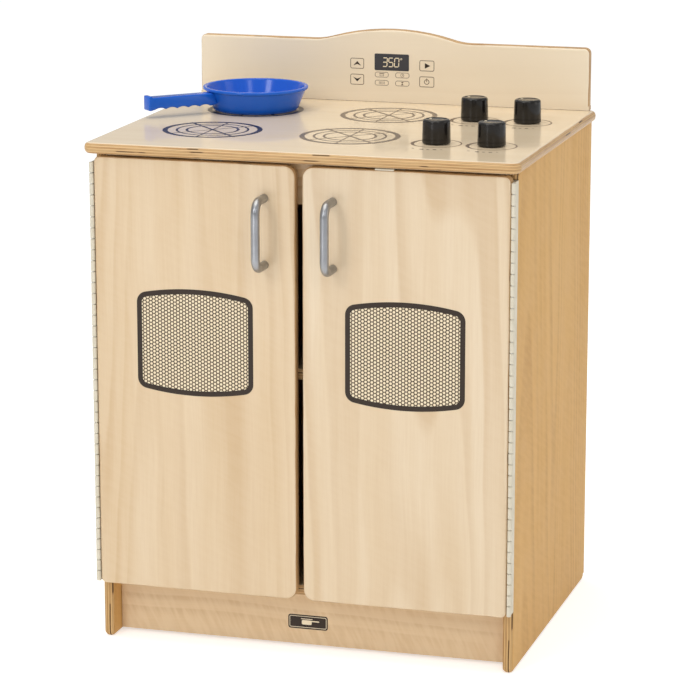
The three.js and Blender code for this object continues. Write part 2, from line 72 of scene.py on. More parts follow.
@dataclass
class MeshDraft:
    """Vertices in millimetres and faces, gathered before they become a mesh."""

    verts: list[tuple[float, float, float]] = field(default_factory=list)
    faces: list[list[int]] = field(default_factory=list)

    def add(self, verts: Sequence[Sequence[float]], faces: Sequence[Sequence[int]]) -> None:
        """Appends one more set of vertices and faces."""
        start = len(self.verts)
        self.verts += [tuple(v) for v in verts]
        self.faces += [[start + i for i in face] for face in faces]

    def finish(
        self,
        name: str,
        place: Sequence[float] = (0.0, 0.0, 0.0),
        smooth_angle: float | None = 40.0,
        recalculate: bool = True,
    ) -> Object:
        """Makes the draft an object at the origin, with its place in its mesh.

        Args:
            name: the piece's name.
            place: where the draft's own origin goes, in metres.
            smooth_angle: edges sharper than this many degrees stay sharp; None keeps facets.
            recalculate: merges doubles and turns the faces outwards.

        Returns:
            The new object.
        """
        mesh = bpy.data.meshes.new(name)
        here = Vector(place)
        mesh.from_pydata([here + Vector(v) * MM for v in self.verts], [], self.faces)
        if recalculate:
            shape = bmesh.new()
            shape.from_mesh(mesh)
            bmesh.ops.remove_doubles(shape, verts=shape.verts, dist=1e-7)
            bmesh.ops.recalc_face_normals(shape, faces=shape.faces)
            shape.to_mesh(mesh)
            shape.free()
        shade(mesh, smooth_angle)
        made = bpy.data.objects.new(name, mesh)
        bpy.context.scene.collection.objects.link(made)
        return made


def shade(mesh: bpy.types.Mesh, smooth_angle: float | None) -> None:
    """Shades a mesh smooth up to an angle in degrees, or flat for None."""
    mesh.polygons.foreach_set("use_smooth", [smooth_angle is not None] * len(mesh.polygons))
    if smooth_angle is not None:
        mesh.set_sharp_from_angle(angle=math.radians(smooth_angle))
    mesh.update()


def turned(
    draft: MeshDraft, profile: Sequence[Point2], sides: int, place: Sequence[float] = (0, 0, 0),
) -> None:
    """Adds a solid of revolution about +Z.

    Args:
        draft: the draft that receives it.
        profile: (radius, height) points that start and end on the axis.
        sides: number of sides round the axis.
        place: the solid's own origin in the draft, in millimetres.
    """
    verts: list[tuple[float, float, float]] = []
    rows: list[list[int]] = []
    for radius, height in profile:
        count = sides if radius > 1e-6 else 1
        rows.append(list(range(len(verts), len(verts) + count)))
        for i in range(count):
            turn = 2 * math.pi * i / sides
            verts.append(
                (place[0] + radius * math.cos(turn), place[1] + radius * math.sin(turn), place[2] + height)
            )
    faces: list[list[int]] = []
    for low, high in zip(rows, rows[1:]):
        for i in range(sides):
            j = (i + 1) % sides
            corners = [low[i % len(low)], low[j % len(low)], high[j % len(high)], high[i % len(high)]]
            face = list(dict.fromkeys(corners))
            if len(face) > 2:
                faces.append(face)
    draft.add(verts, faces)


def swept(draft: MeshDraft, path: Sequence[Vector], radius: float, sides: int) -> None:
    """Adds a round bar that follows a flat path, in millimetres, with closed ends."""
    verts: list[Vector] = []
    faces: list[list[int]] = []
    count = len(path)
    normal = (path[1] - path[0]).cross(path[count // 2] - path[0]).normalized()
    for i, point in enumerate(path):
        along = (path[min(i + 1, count - 1)] - path[max(i - 1, 0)]).normalized()
        aside = along.cross(normal)
        for k in range(sides):
            turn = 2 * math.pi * k / sides
            verts.append(point + (normal * math.cos(turn) + aside * math.sin(turn)) * radius)
    for i in range(count - 1):
        for k in range(sides):
            near, far = i * sides, (i + 1) * sides
            nxt = (k + 1) % sides
            faces.append([near + k, near + nxt, far + nxt, far + k])
    faces.append(list(range(sides)))
    faces.append([(count - 1) * sides + k for k in range(sides)])
    draft.add(verts, faces)


def block(draft: MeshDraft, low: Sequence[float], high: Sequence[float]) -> None:
    """Adds a box between two corners, in millimetres."""
    verts = [(x, y, z) for x in (low[0], high[0]) for y in (low[1], high[1]) for z in (low[2], high[2])]
    draft.add(verts, [[0, 1, 3, 2], [4, 6, 7, 5], [0, 4, 5, 1], [2, 3, 7, 6], [0, 2, 6, 4], [1, 5, 7, 3]])


def applied(piece: Object) -> Object:
    """Turns a piece's modifiers into its mesh and removes them."""
    view = bpy.context.evaluated_depsgraph_get()
    mesh = bpy.data.meshes.new_from_object(piece.evaluated_get(view), depsgraph=view)
    old = piece.data
    piece.modifiers.clear()
    piece.data = mesh
    mesh.name = piece.name
    bpy.data.meshes.remove(old)
    return piece


def softened(piece: Object, width: float, segments: int = 2, angle: float = 40.0) -> Object:
    """Rounds a piece's sharp edges by a width in millimetres."""
    bevel = piece.modifiers.new("soft edges", "BEVEL")
    bevel.width = width * MM
    bevel.segments = segments
    bevel.limit_method = "ANGLE"
    bevel.angle_limit = math.radians(angle)
    bevel.miter_outer = "MITER_ARC"
    bevel.use_clamp_overlap = True
    flatten = piece.modifiers.new("even shading", "WEIGHTED_NORMAL")
    flatten.keep_sharp = True
    shade(piece.data, 60.0)
    return applied(piece)


def copied(node: str, name: str, soft: float = 0.0, smooth_angle: float = 50.0) -> Object:
    """Copies a CAD node as one welded mesh with even shading.

    Args:
        node: the CAD node to copy.
        name: the new piece's name.
        soft: rounding for its sharp edges in millimetres, or 0 for none.
        smooth_angle: edges sharper than this many degrees stay sharp.

    Returns:
        The new piece, which stands for the node.
    """
    shape = bmesh.new()
    shape.from_mesh(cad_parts[node].data)
    bmesh.ops.remove_doubles(shape, verts=shape.verts, dist=2e-6)
    if soft:
        bmesh.ops.dissolve_limit(
            shape, angle_limit=math.radians(0.5), verts=shape.verts, edges=shape.edges, use_dissolve_boundaries=False
        )
    shape.verts.index_update()
    mesh = bpy.data.meshes.new(name)
    mesh.from_pydata(
        [v.co.copy() for v in shape.verts], [], [[v.index for v in f.verts] for f in shape.faces],
    )
    shape.free()
    shade(mesh, smooth_angle)
    piece = bpy.data.objects.new(name, mesh)
    bpy.context.scene.collection.objects.link(piece)
    if soft:
        softened(piece, soft)
    else:
        flatten = piece.modifiers.new("even shading", "WEIGHTED_NORMAL")
        flatten.keep_sharp = True
        applied(piece)
    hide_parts(node)
    return piece


def placed(piece: Object, body: str, slot: str, *materials: Material) -> Object:
    """Dresses a finished piece and hands it to its body.

    Args:
        piece: the finished piece.
        body: the CAD body it moves with.
        slot: the name of its material slot in the record; not used.
        materials: the materials for its slots, or none if it already has them.

    Returns:
        The same piece.
    """
    if materials:
        piece.data.materials.clear()
        for material in materials:
            piece.data.materials.append(material)
    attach(piece, body)
    LOG.info("%s: %d faces on %s", piece.name, len(piece.data.polygons), body)
    return piece


# ---- Shared tools: flat outlines and ink -------------------------------------------------------
def circle(centre: Point2, radius: float, count: int = 96) -> list[Point2]:
    """Points round a circle, anticlockwise."""
    turns = [2 * math.pi * i / count for i in range(count)]
    return [(centre[0] + radius * math.cos(t), centre[1] + radius * math.sin(t)) for t in turns]


def rounded_box(low: Point2, high: Point2, radius: float, count: int = 8) -> list[Point2]:
    """Points round a rectangle with rounded corners, anticlockwise."""
    corners = [
        (high[0] - radius, high[1] - radius, 0.0),
        (low[0] + radius, high[1] - radius, 0.5),
        (low[0] + radius, low[1] + radius, 1.0),
        (high[0] - radius, low[1] + radius, 1.5),
    ]
    points = []
    for x, y, start in corners:
        for i in range(count + 1):
            turn = math.pi * (start + 0.5 * i / count)
            points.append((x + radius * math.cos(turn), y + radius * math.sin(turn)))
    return points


def strip(start: Point2, end: Point2, width: float) -> list[Point2]:
    """A straight stroke between two points, as a four-cornered outline."""
    run = Vector((end[0] - start[0], end[1] - start[1])).normalized() * width / 2
    return [
        (start[0] + run.y, start[1] - run.x),
        (end[0] + run.y, end[1] - run.x),
        (end[0] - run.y, end[1] + run.x),
        (start[0] - run.y, start[1] + run.x),
    ]


def inset(outline: Sequence[Point2], distance: float) -> list[Point2]:
    """Moves an anticlockwise outline inwards along its own normals."""
    points = []
    for i, (x, y) in enumerate(outline):
        before, after = outline[i - 1], outline[(i + 1) % len(outline)]
        along = Vector((after[0] - before[0], after[1] - before[1])).normalized()
        points.append((x - along.y * distance, y + along.x * distance))
    return points


@dataclass
class InkSheet:
    """Flat printed shapes of one ink on one face, raised by a hair.

    Attributes:
        facing: the way the face looks; FRONT is drawn in (x, z) and UP in (x, y).
        level: where the face lies along its own direction, in millimetres.
        film: thickness of the ink film in millimetres.
    """

    facing: Facing
    level: float
    film: float = 0.1
    sink: float = 0.05
    draft: MeshDraft = field(default_factory=MeshDraft)

    def _point(self, point: Point2, height: float) -> tuple[float, float, float]:
        """A drawn point at a height above the face."""
        if self.facing is Facing.UP:
            return (point[0], point[1], self.level + height)
        return (point[0], self.level - height, point[1])

    def plate(self, outline: Sequence[Point2], lift: float = 0.0) -> None:
        """Adds a closed plate from an anticlockwise outline."""
        count = len(outline)
        verts = [self._point(p, -self.sink) for p in outline]
        verts += [self._point(p, self.film + lift) for p in outline]
        faces = [list(range(count, 2 * count)), list(reversed(range(count)))]
        faces += [[i, (i + 1) % count, count + (i + 1) % count, count + i] for i in range(count)]
        self.draft.add(verts, faces)

    def band(self, outer: Sequence[Point2], inner: Sequence[Point2], lift: float = 0.0) -> None:
        """Adds a closed band between two outlines with as many points."""
        count = len(outer)
        top, low = self.film + lift, -self.sink
        verts = [self._point(p, low) for p in outer] + [self._point(p, top) for p in outer]
        verts += [self._point(p, low) for p in inner] + [self._point(p, top) for p in inner]
        faces = []
        for i in range(count):
            j = (i + 1) % count
            faces.append([count + i, count + j, 3 * count + j, 3 * count + i])
            faces.append([j, i, 2 * count + i, 2 * count + j])
            faces.append([i, j, count + j, count + i])
            faces.append([2 * count + j, 2 * count + i, 3 * count + i, 3 * count + j])
        self.draft.add(verts, faces)

    def ring(self, centre: Point2, radius: float, stroke: float, lift: float = 0.0) -> None:
        """Adds a circle drawn with a stroke of even width."""
        self.band(circle(centre, radius + stroke / 2), circle(centre, radius - stroke / 2), lift)

    def outline(self, points: Sequence[Point2], stroke: float) -> None:
        """Adds a closed line along the inside of an outline."""
        self.band(points, inset(points, stroke))

    def stroke(self, start: Point2, end: Point2, width: float, lift: float = 0.0) -> None:
        """Adds a straight line."""
        self.plate(strip(start, end, width), lift)

    def finish(self, name: str) -> Object:
        """Makes the sheet one object."""
        return self.draft.finish(name, smooth_angle=None, recalculate=False)


# ---- Shared tools: geometry node trees ---------------------------------------------------------
class NodeWriter:
    """A node tree under construction, with short calls to add, set and join nodes."""

    def __init__(self, tree: bpy.types.NodeTree) -> None:
        """Starts writing in a tree."""
        self.tree = tree

    def node(
        self, kind: str, inputs: dict[str | int, object] | None = None, **settings: object,
    ) -> bpy.types.Node:
        """Adds a node.

        Args:
            kind: the node's type.
            inputs: a value or a socket to join for each input, by name or number.
            settings: the node's own settings.

        Returns:
            The new node.
        """
        made = self.tree.nodes.new(kind)
        for name, value in settings.items():
            setattr(made, name, value)
        for key, value in (inputs or {}).items():
            self.feed(made.inputs[key], value)
        return made

    def feed(self, socket: Socket, value: object) -> None:
        """Joins a socket to an input, or sets its plain value."""
        if isinstance(value, Socket):
            self.tree.links.new(value, socket)
        else:
            socket.default_value = value

    def maths(self, operation: str, *values: object, clamp: bool = False, shader: bool = True) -> Socket:
        """Adds a Math node and returns its result."""
        made = self.node("ShaderNodeMath", dict(enumerate(values)), operation=operation, use_clamp=clamp)
        return made.outputs[0]

    def vector(self, x: object, y: object, z: object) -> Socket:
        """Joins three numbers into a vector."""
        return self.node("ShaderNodeCombineXYZ", {0: x, 1: y, 2: z}).outputs[0]


def make_group(
    kind: str, name: str, inputs: Sequence[tuple[str, str, object]], outputs: Sequence[tuple[str, str]]
) -> tuple[NodeWriter, bpy.types.Node, bpy.types.Node]:
    """Starts a node group with named sockets.

    Args:
        kind: the tree's type.
        name: the group's name.
        inputs: each input's name, socket type and default, or None for no default.
        outputs: each output's name and socket type.

    Returns:
        The writer, the group's input node and its output node.
    """
    tree = bpy.data.node_groups.new(name, kind)
    for label, socket_type, default in inputs:
        made = tree.interface.new_socket(label, in_out="INPUT", socket_type=f"NodeSocket{socket_type}")
        if default is not None:
            made.default_value = default
    for label, socket_type in outputs:
        tree.interface.new_socket(label, in_out="OUTPUT", socket_type=f"NodeSocket{socket_type}")
    writer = NodeWriter(tree)
    return writer, writer.node("NodeGroupInput"), writer.node("NodeGroupOutput")


def grown(
    name: str, tree: bpy.types.NodeTree, values: dict[str, object], points: Sequence[Vector] = (),
) -> Object:
    """Runs a geometry tree once and keeps its result as a plain mesh.

    Args:
        name: the new piece's name.
        tree: the geometry tree.
        values: the tree's inputs by name.
        points: where the tree's own points are, in metres, if it takes any.

    Returns:
        The finished object, with no modifier.
    """
    start = bpy.data.meshes.new(name)
    start.from_pydata([Vector(p) for p in points], [], [])
    made = bpy.data.objects.new(name, start)
    bpy.context.scene.collection.objects.link(made)
    modifier = made.modifiers.new("grow", "NODES")
    modifier.node_group = tree
    for item in tree.interface.items_tree:
        if item.in_out == "INPUT" and item.name in values:
            modifier[item.identifier] = values[item.name]
    bpy.context.view_layer.update()
    applied(made)
    made.data.polygons.foreach_set("material_index", [0] * len(made.data.polygons))
    made.data.materials.clear()
    made.data.materials.append(values["Finish"])
    return made


def repeat_tree() -> bpy.types.NodeTree:
    """Sets a piece on each point, facing one way and turned a random amount about its own axis."""
    w, group_in, group_out = make_group(
        "GeometryNodeTree",
        "set_on_points",
        [
            ("Points", "Geometry", None),
            ("Piece", "Object", None),
            ("Facing", "Vector", (0.0, 0.0, 0.0)),
            ("Turn", "Float", 0.0),
            ("Seed", "Int", 0),
            ("Finish", "Material", None),
        ],
        [("Geometry", "Geometry")],
    )
    source = w.node("GeometryNodeObjectInfo", {"Object": group_in.outputs["Piece"]})
    facing = w.node("FunctionNodeEulerToRotation", {0: group_in.outputs["Facing"]})
    placed_copies = w.node(
        "GeometryNodeInstanceOnPoints",
        {
            "Points": group_in.outputs["Points"],
            "Instance": source.outputs["Geometry"],
            "Rotation": facing.outputs[0],
        },
    )
    chance = w.node("FunctionNodeRandomValue", {"Seed": group_in.outputs["Seed"]}, data_type="FLOAT")
    for socket in chance.inputs:
        if socket.name == "Max" and socket.type == "VALUE":
            w.feed(socket, group_in.outputs["Turn"])
    number = next(s for s in chance.outputs if s.type == "VALUE")
    spin = w.node("FunctionNodeEulerToRotation", {0: w.vector(0.0, 0.0, number)})
    spun = w.node(
        "GeometryNodeRotateInstances",
        {"Instances": placed_copies.outputs[0], "Rotation": spin.outputs[0], "Local Space": True},
    )
    real = w.node("GeometryNodeRealizeInstances", {0: spun.outputs[0]})
    dressed = w.node(
        "GeometryNodeSetMaterial", {"Geometry": real.outputs[0], "Material": group_in.outputs["Finish"]}
    )
    w.feed(group_out.inputs[0], dressed.outputs[0])
    return w.tree


def row_tree() -> bpy.types.NodeTree:
    """Sets a piece along a straight row, a fixed step apart."""
    w, group_in, group_out = make_group(
        "GeometryNodeTree",
        "set_in_a_row",
        [
            ("Piece", "Object", None),
            ("Count", "Int", 10),
            ("Start", "Vector", (0.0, 0.0, 0.0)),
            ("Step", "Vector", (0.0, 0.0, 0.01)),
            ("Facing", "Vector", (0.0, 0.0, 0.0)),
            ("Finish", "Material", None),
        ],
        [("Geometry", "Geometry")],
    )
    line = w.node(
        "GeometryNodeMeshLine",
        {
            "Count": group_in.outputs["Count"], "Start Location": group_in.outputs["Start"],
            "Offset": group_in.outputs["Step"],
        },
        mode="OFFSET",
    )
    source = w.node("GeometryNodeObjectInfo", {"Object": group_in.outputs["Piece"]})
    facing = w.node("FunctionNodeEulerToRotation", {0: group_in.outputs["Facing"]})
    copies = w.node(
        "GeometryNodeInstanceOnPoints",
        {"Points": line.outputs[0], "Instance": source.outputs["Geometry"], "Rotation": facing.outputs[0]},
    )
    real = w.node("GeometryNodeRealizeInstances", {0: copies.outputs[0]})
    dressed = w.node(
        "GeometryNodeSetMaterial", {"Geometry": real.outputs[0], "Material": group_in.outputs["Finish"]}
    )
    w.feed(group_out.inputs[0], dressed.outputs[0])
    return w.tree


def net_tree() -> bpy.types.NodeTree:
    """Fills an arched window on a front face with a honeycomb of one small piece."""
    w, group_in, group_out = make_group(
        "GeometryNodeTree",
        "honeycomb_in_window",
        [
            ("Piece", "Object", None),
            ("Centre", "Vector", (0.0, 0.0, 0.0)),
            ("Pitch", "Float", 0.0042),
            ("Half Width", "Float", 0.068),
            ("Half Height", "Float", 0.052),
            ("Arch", "Float", 0.007),
            ("Columns", "Int", 38),
            ("Rows", "Int", 32),
            ("Finish", "Material", None),
        ],
        [("Geometry", "Geometry")],
    )
    column_step = w.maths("MULTIPLY", group_in.outputs["Pitch"], math.sqrt(3) / 2)
    spans = [
        w.maths("MULTIPLY", w.maths("SUBTRACT", group_in.outputs[count], 1.0), step)
        for count, step in (("Columns", column_step), ("Rows", group_in.outputs["Pitch"]))
    ]
    grid = w.node(
        "GeometryNodeMeshGrid",
        {
            "Size X": spans[0],
            "Size Y": spans[1],
            "Vertices X": group_in.outputs["Columns"],
            "Vertices Y": group_in.outputs["Rows"],
        },
    )
    place = w.node("ShaderNodeSeparateXYZ", {0: w.node("GeometryNodeInputPosition").outputs[0]})
    column = w.maths("ROUND", w.maths("ADD", w.maths("DIVIDE", place.outputs[0], column_step), 1000.5))
    odd = w.maths("MODULO", column, 2.0)
    shift = w.maths("MULTIPLY", odd, w.maths("MULTIPLY", group_in.outputs["Pitch"], 0.5))
    staggered = w.node(
        "GeometryNodeSetPosition",
        {"Geometry": grid.outputs[0], "Offset": w.vector(0.0, shift, 0.0)},
    )
    moved = w.node("ShaderNodeSeparateXYZ", {0: w.node("GeometryNodeInputPosition").outputs[0]})
    share = w.maths("DIVIDE", moved.outputs[0], group_in.outputs["Half Width"])
    bow = w.maths(
        "MULTIPLY", group_in.outputs["Arch"],
        w.maths("SUBTRACT", 1.0, w.maths("MULTIPLY", share, share)),
    )
    limit = w.maths("ADD", group_in.outputs["Half Height"], bow)
    too_high = w.maths("GREATER_THAN", w.maths("ABSOLUTE", moved.outputs[1]), limit)
    too_wide = w.maths("GREATER_THAN", w.maths("ABSOLUTE", share), 1.0)
    kept = w.node(
        "GeometryNodeDeleteGeometry",
        {"Geometry": staggered.outputs[0], "Selection": w.maths("MAXIMUM", too_high, too_wide)},
        domain="POINT",
    )
    source = w.node("GeometryNodeObjectInfo", {"Object": group_in.outputs["Piece"]})
    copies = w.node(
        "GeometryNodeInstanceOnPoints",
        {"Points": kept.outputs[0], "Instance": source.outputs["Geometry"]},
    )
    stood = w.node(
        "GeometryNodeTransform",
        {
            "Geometry": copies.outputs[0], "Translation": group_in.outputs["Centre"],
            "Rotation": Facing.FRONT.value,
        },
    )
    real = w.node("GeometryNodeRealizeInstances", {0: stood.outputs[0]})
    dressed = w.node(
        "GeometryNodeSetMaterial", {"Geometry": real.outputs[0], "Material": group_in.outputs["Finish"]}
    )
    w.feed(group_out.inputs[0], dressed.outputs[0])
    return w.tree


# ---- Finishes: shared shader effects -----------------------------------------------------------
class ShaderWriter(NodeWriter):
    """A shader tree under construction."""

    def noise(self, vector: object, scale: object, detail: float = 2.0, roughness: float = 0.5) -> Socket:
        """Adds a noise texture and returns its value."""
        inputs = {"Vector": vector, "Scale": scale, "Detail": detail, "Roughness": roughness}
        return self.node("ShaderNodeTexNoise", inputs).outputs["Fac"]

    def between(
        self, value: object, low: object, high: object, start: object = 0.0, end: object = 1.0,
    ) -> Socket:
        """Maps a value smoothly from one range onto another, held at its ends."""
        inputs = {"Value": value, "From Min": low, "From Max": high, "To Min": start, "To Max": end}
        return self.node("ShaderNodeMapRange", inputs, interpolation_type="SMOOTHSTEP").outputs["Result"]

    def blend(self, share: object, first: object, second: object, mode: str = "MIX") -> Socket:
        """Mixes two colours and returns the result."""
        made = self.node("ShaderNodeMix", data_type="RGBA", blend_type=mode, clamp_result=True)
        self.feed(made.inputs[0], share)
        for socket, value in ((made.inputs[6], first), (made.inputs[7], second)):
            self.feed(socket, (*value, 1.0) if isinstance(value, tuple) and len(value) == 3 else value)
        return made.outputs[2]


def birch_group() -> bpy.types.NodeTree:
    """Figure of peeled birch veneer: broad arched growth lines, slow tone, and fine fibres."""
    w, group_in, group_out = make_group(
        "ShaderNodeTree",
        "birch_figure",
        [
            ("Vector", "Vector", None), ("Arch Scale", "Float", 7.0), ("Stretch", "Float", 0.07),
            ("Growth Lines", "Float", 22.0), ("Seed", "Float", 0.0),
        ],
        [("Tone", "Float"), ("Growth", "Float"), ("Fibre", "Float"), ("Mottle", "Float")],
    )
    w = ShaderWriter(w.tree)
    place = w.node("ShaderNodeSeparateXYZ", {0: group_in.outputs["Vector"]})
    across, along, depth = place.outputs
    seed = group_in.outputs["Seed"]
    sway = w.noise(w.vector(w.maths("MULTIPLY", across, 0.4), along, seed), 4.0, 1.0)
    swayed = w.maths("MULTIPLY_ADD", w.maths("SUBTRACT", sway, 0.5), 0.02, across)
    long_way = w.vector(swayed, w.maths("MULTIPLY", along, group_in.outputs["Stretch"]), seed)
    arches = w.noise(long_way, group_in.outputs["Arch Scale"], 1.2, 0.35)
    ring = w.maths("FRACT", w.maths("MULTIPLY", arches, group_in.outputs["Growth Lines"]))
    late = w.maths("MULTIPLY", w.between(ring, 0.3, 0.85), w.between(ring, 1.0, 0.86))
    patch = w.between(w.noise(long_way, 19.0, 2.0), 0.36, 0.66, 0.1, 1.0)
    w.feed(group_out.inputs["Growth"], w.maths("MULTIPLY", late, patch))
    band = w.noise(w.vector(swayed, w.maths("MULTIPLY", along, 0.05), seed), 30.0, 4.0, 0.6)
    broad = w.noise(w.vector(swayed, w.maths("MULTIPLY", along, 0.12), seed), 7.0, 2.0)
    soft = w.maths(
        "MULTIPLY_ADD", w.between(broad, 0.3, 0.7), 0.38,
        w.maths("MULTIPLY", w.between(band, 0.3, 0.7), 0.5),
    )
    w.feed(group_out.inputs["Tone"], w.maths("MULTIPLY_ADD", late, 0.1, soft))
    thread = w.noise(w.vector(across, w.maths("MULTIPLY", along, 0.018), depth), 1300.0, 2.5, 0.6)
    streak = w.noise(w.vector(swayed, w.maths("MULTIPLY", along, 0.022), depth), 330.0, 2.0, 0.6)
    w.feed(
        group_out.inputs["Fibre"],
        w.between(w.maths("MULTIPLY_ADD", thread, 0.5, w.maths("MULTIPLY", streak, 0.5)), 0.36, 0.66),
    )
    slant = w.maths("MULTIPLY_ADD", across, 0.45, w.maths("MULTIPLY_ADD", sway, 0.03, along))
    curl = w.noise(w.vector(w.maths("MULTIPLY", across, 0.22), slant, seed), 150.0, 1.5)
    w.feed(group_out.inputs["Mottle"], w.between(curl, 0.34, 0.66))
    return w.tree


def ply_group() -> bpy.types.NodeTree:
    """Layers of a plywood panel across its thickness: cross plies, glue lines and small voids, whose hollows the
    birch finish paints near-black as shade.
    """
    w, group_in, group_out = make_group(
        "ShaderNodeTree",
        "ply_layers",
        [
            ("Vector", "Vector", None), ("Thickness", "Float", 0.0127), ("Veneer", "Float", 0.0007),
            ("Plies", "Float", 7.0),
        ],
        [("Cross", "Float"), ("Glue", "Float"), ("Void", "Float"), ("Core", "Float")],
    )
    w = ShaderWriter(w.tree)
    place = w.node("ShaderNodeSeparateXYZ", {0: group_in.outputs["Vector"]})
    across, along, depth = place.outputs
    flat = w.vector(across, along, 0.0)
    wobble = w.maths("MULTIPLY", w.maths("SUBTRACT", w.noise(flat, 16.0, 4.0), 0.5), 0.0011)
    inner = w.maths("SUBTRACT", w.maths("ADD", depth, wobble), group_in.outputs["Veneer"])
    room = w.maths(
        "SUBTRACT", group_in.outputs["Thickness"],
        w.maths("MULTIPLY", group_in.outputs["Veneer"], 2.0),
    )
    layer = w.maths("MULTIPLY", w.maths("DIVIDE", inner, room), group_in.outputs["Plies"])
    core = w.maths(
        "MULTIPLY", w.maths("GREATER_THAN", layer, 0.0),
        w.maths("LESS_THAN", layer, group_in.outputs["Plies"]),
    )
    whole = w.maths("FLOOR", layer)
    cross = w.maths("MULTIPLY", core, w.maths("SUBTRACT", 1.0, w.maths("MODULO", whole, 2.0)))
    part = w.maths("FRACT", layer)
    near = w.maths("MINIMUM", part, w.maths("SUBTRACT", 1.0, part))
    grain = w.noise(w.vector(across, along, w.maths("MULTIPLY", depth, 6.0)), 900.0, 2.0, 0.7)
    own = w.vector(across, along, w.maths("MULTIPLY", whole, 7.3))
    each = w.between(w.noise(own, 13.0, 2.0), 0.3, 0.68, 0.3, 1.0)
    dark = w.maths("MULTIPLY", each, w.between(grain, 0.25, 0.75, 0.6, 1.0))
    w.feed(group_out.inputs["Cross"], w.maths("MULTIPLY", cross, dark))
    seam = w.maths(
        "MULTIPLY", w.between(near, 0.2, 0.03),
        w.between(w.noise(own, 30.0, 2.0), 0.35, 0.6, 0.25, 1.0),
    )
    w.feed(group_out.inputs["Glue"], w.maths("MULTIPLY", core, seam))
    pocket = w.maths("MULTIPLY", w.between(w.noise(own, 21.0, 1.5), 0.63, 0.67), w.between(near, 0.12, 0.3))
    w.feed(group_out.inputs["Void"], w.maths("MULTIPLY", cross, pocket))
    w.feed(group_out.inputs["Core"], core)
    return w.tree


def handled_group() -> bpy.types.NodeTree:
    """Faint smears and fine scuffs of a surface that hands touch, for roughness and bump."""
    w, group_in, group_out = make_group(
        "ShaderNodeTree",
        "handled_surface",
        [("Vector", "Vector", None), ("Smear Scale", "Float", 22.0), ("Grain Scale", "Float", 900.0)],
        [("Smear", "Float"), ("Scuff", "Float"), ("Grain", "Float")],
    )
    w = ShaderWriter(w.tree)
    where = group_in.outputs["Vector"]
    w.feed(
        group_out.inputs["Smear"],
        w.between(w.noise(where, group_in.outputs["Smear Scale"], 4.0, 0.6), 0.3, 0.7),
    )
    w.feed(group_out.inputs["Grain"], w.noise(where, group_in.outputs["Grain Scale"], 3.0, 0.6))
    bent = w.node("ShaderNodeVectorMath", {0: where, 1: (1.0, 1.0, 0.12)}, operation="MULTIPLY").outputs[0]
    hair = w.noise(bent, 700.0, 2.0, 0.4)
    w.feed(group_out.inputs["Scuff"], w.between(hair, 0.64, 0.74))
    return w.tree


def flat_group() -> bpy.types.NodeTree:
    """Uneven density of a printed ink film: slow drift and fine mottle."""
    w, group_in, group_out = make_group(
        "ShaderNodeTree", "ink_film", [
            ("Vector", "Vector", None), ("Dot Scale", "Float", 1600.0),
        ], [("Thin", "Float")]
    )
    w = ShaderWriter(w.tree)
    where = group_in.outputs["Vector"]
    slow = w.between(w.noise(where, 60.0, 2.0), 0.35, 0.7)
    fine = w.between(w.noise(where, group_in.outputs["Dot Scale"], 2.0, 0.7), 0.45, 0.75)
    w.feed(group_out.inputs["Thin"], w.maths("MULTIPLY_ADD", fine, 0.5, w.maths("MULTIPLY", slow, 0.5)))
    return w.tree


@dataclass
class Effects:
    """The shader groups that several finishes share."""

    birch: bpy.types.NodeTree
    ply: bpy.types.NodeTree
    handled: bpy.types.NodeTree
    ink: bpy.types.NodeTree

    @classmethod
    def build(cls) -> "Effects":
        """Builds each group once."""
        return cls(birch_group(), ply_group(), handled_group(), flat_group())


def start_material(name: str) -> tuple[Material, ShaderWriter, bpy.types.Node, Socket]:
    """Starts a material.

    Args:
        name: the material's name.

    Returns:
        The material, its writer, its Principled BSDF and the piece's own coordinates.
    """
    material = bpy.data.materials.new(name)
    material.use_nodes = True
    w = ShaderWriter(material.node_tree)
    w.tree.nodes.clear()
    surface = w.node("ShaderNodeBsdfPrincipled")
    w.node("ShaderNodeOutputMaterial", {"Surface": surface.outputs[0]})
    return material, w, surface, w.node("ShaderNodeTexCoord").outputs["Object"]


def use_group(w: ShaderWriter, group: bpy.types.NodeTree, inputs: dict[str, object]) -> bpy.types.Node:
    """Places a shared effect in a material with its own values."""
    made = w.node("ShaderNodeGroup", node_tree=group)
    for name, value in inputs.items():
        w.feed(made.inputs[name], value)
    return made


def set_plain(surface: bpy.types.Node, **values: float) -> None:
    """Sets the shader's own plain inputs; an underscore stands for a space."""
    for name, value in values.items():
        surface.inputs[name.replace("_", " ").title().replace("Ior", "IOR")].default_value = value


def add_bump(
    w: ShaderWriter, surface: bpy.types.Node, height: Socket, strength: float, distance: float,
) -> None:
    """Feeds a height to the shader's normal through a Bump node."""
    bump = w.node("ShaderNodeBump", {"Strength": strength, "Distance": distance, "Height": height})
    w.feed(surface.inputs["Normal"], bump.outputs[0])


# ---- Finishes ----------------------------------------------------------------------------------
class Axis(Enum):
    """One of the frame's axes."""

    X = 0
    Y = 1
    Z = 2


@dataclass(frozen=True)
class Lay:
    """How a panel's veneer lies: across the grain, along it, and into the thickness.

    Attributes:
        across: the axis across the grain in the panel's face.
        along: the axis along the grain.
        into: the axis through the panel.
        face: where the panel's first face is on that axis, in metres.
    """

    across: Axis
    along: Axis
    into: Axis
    face: float


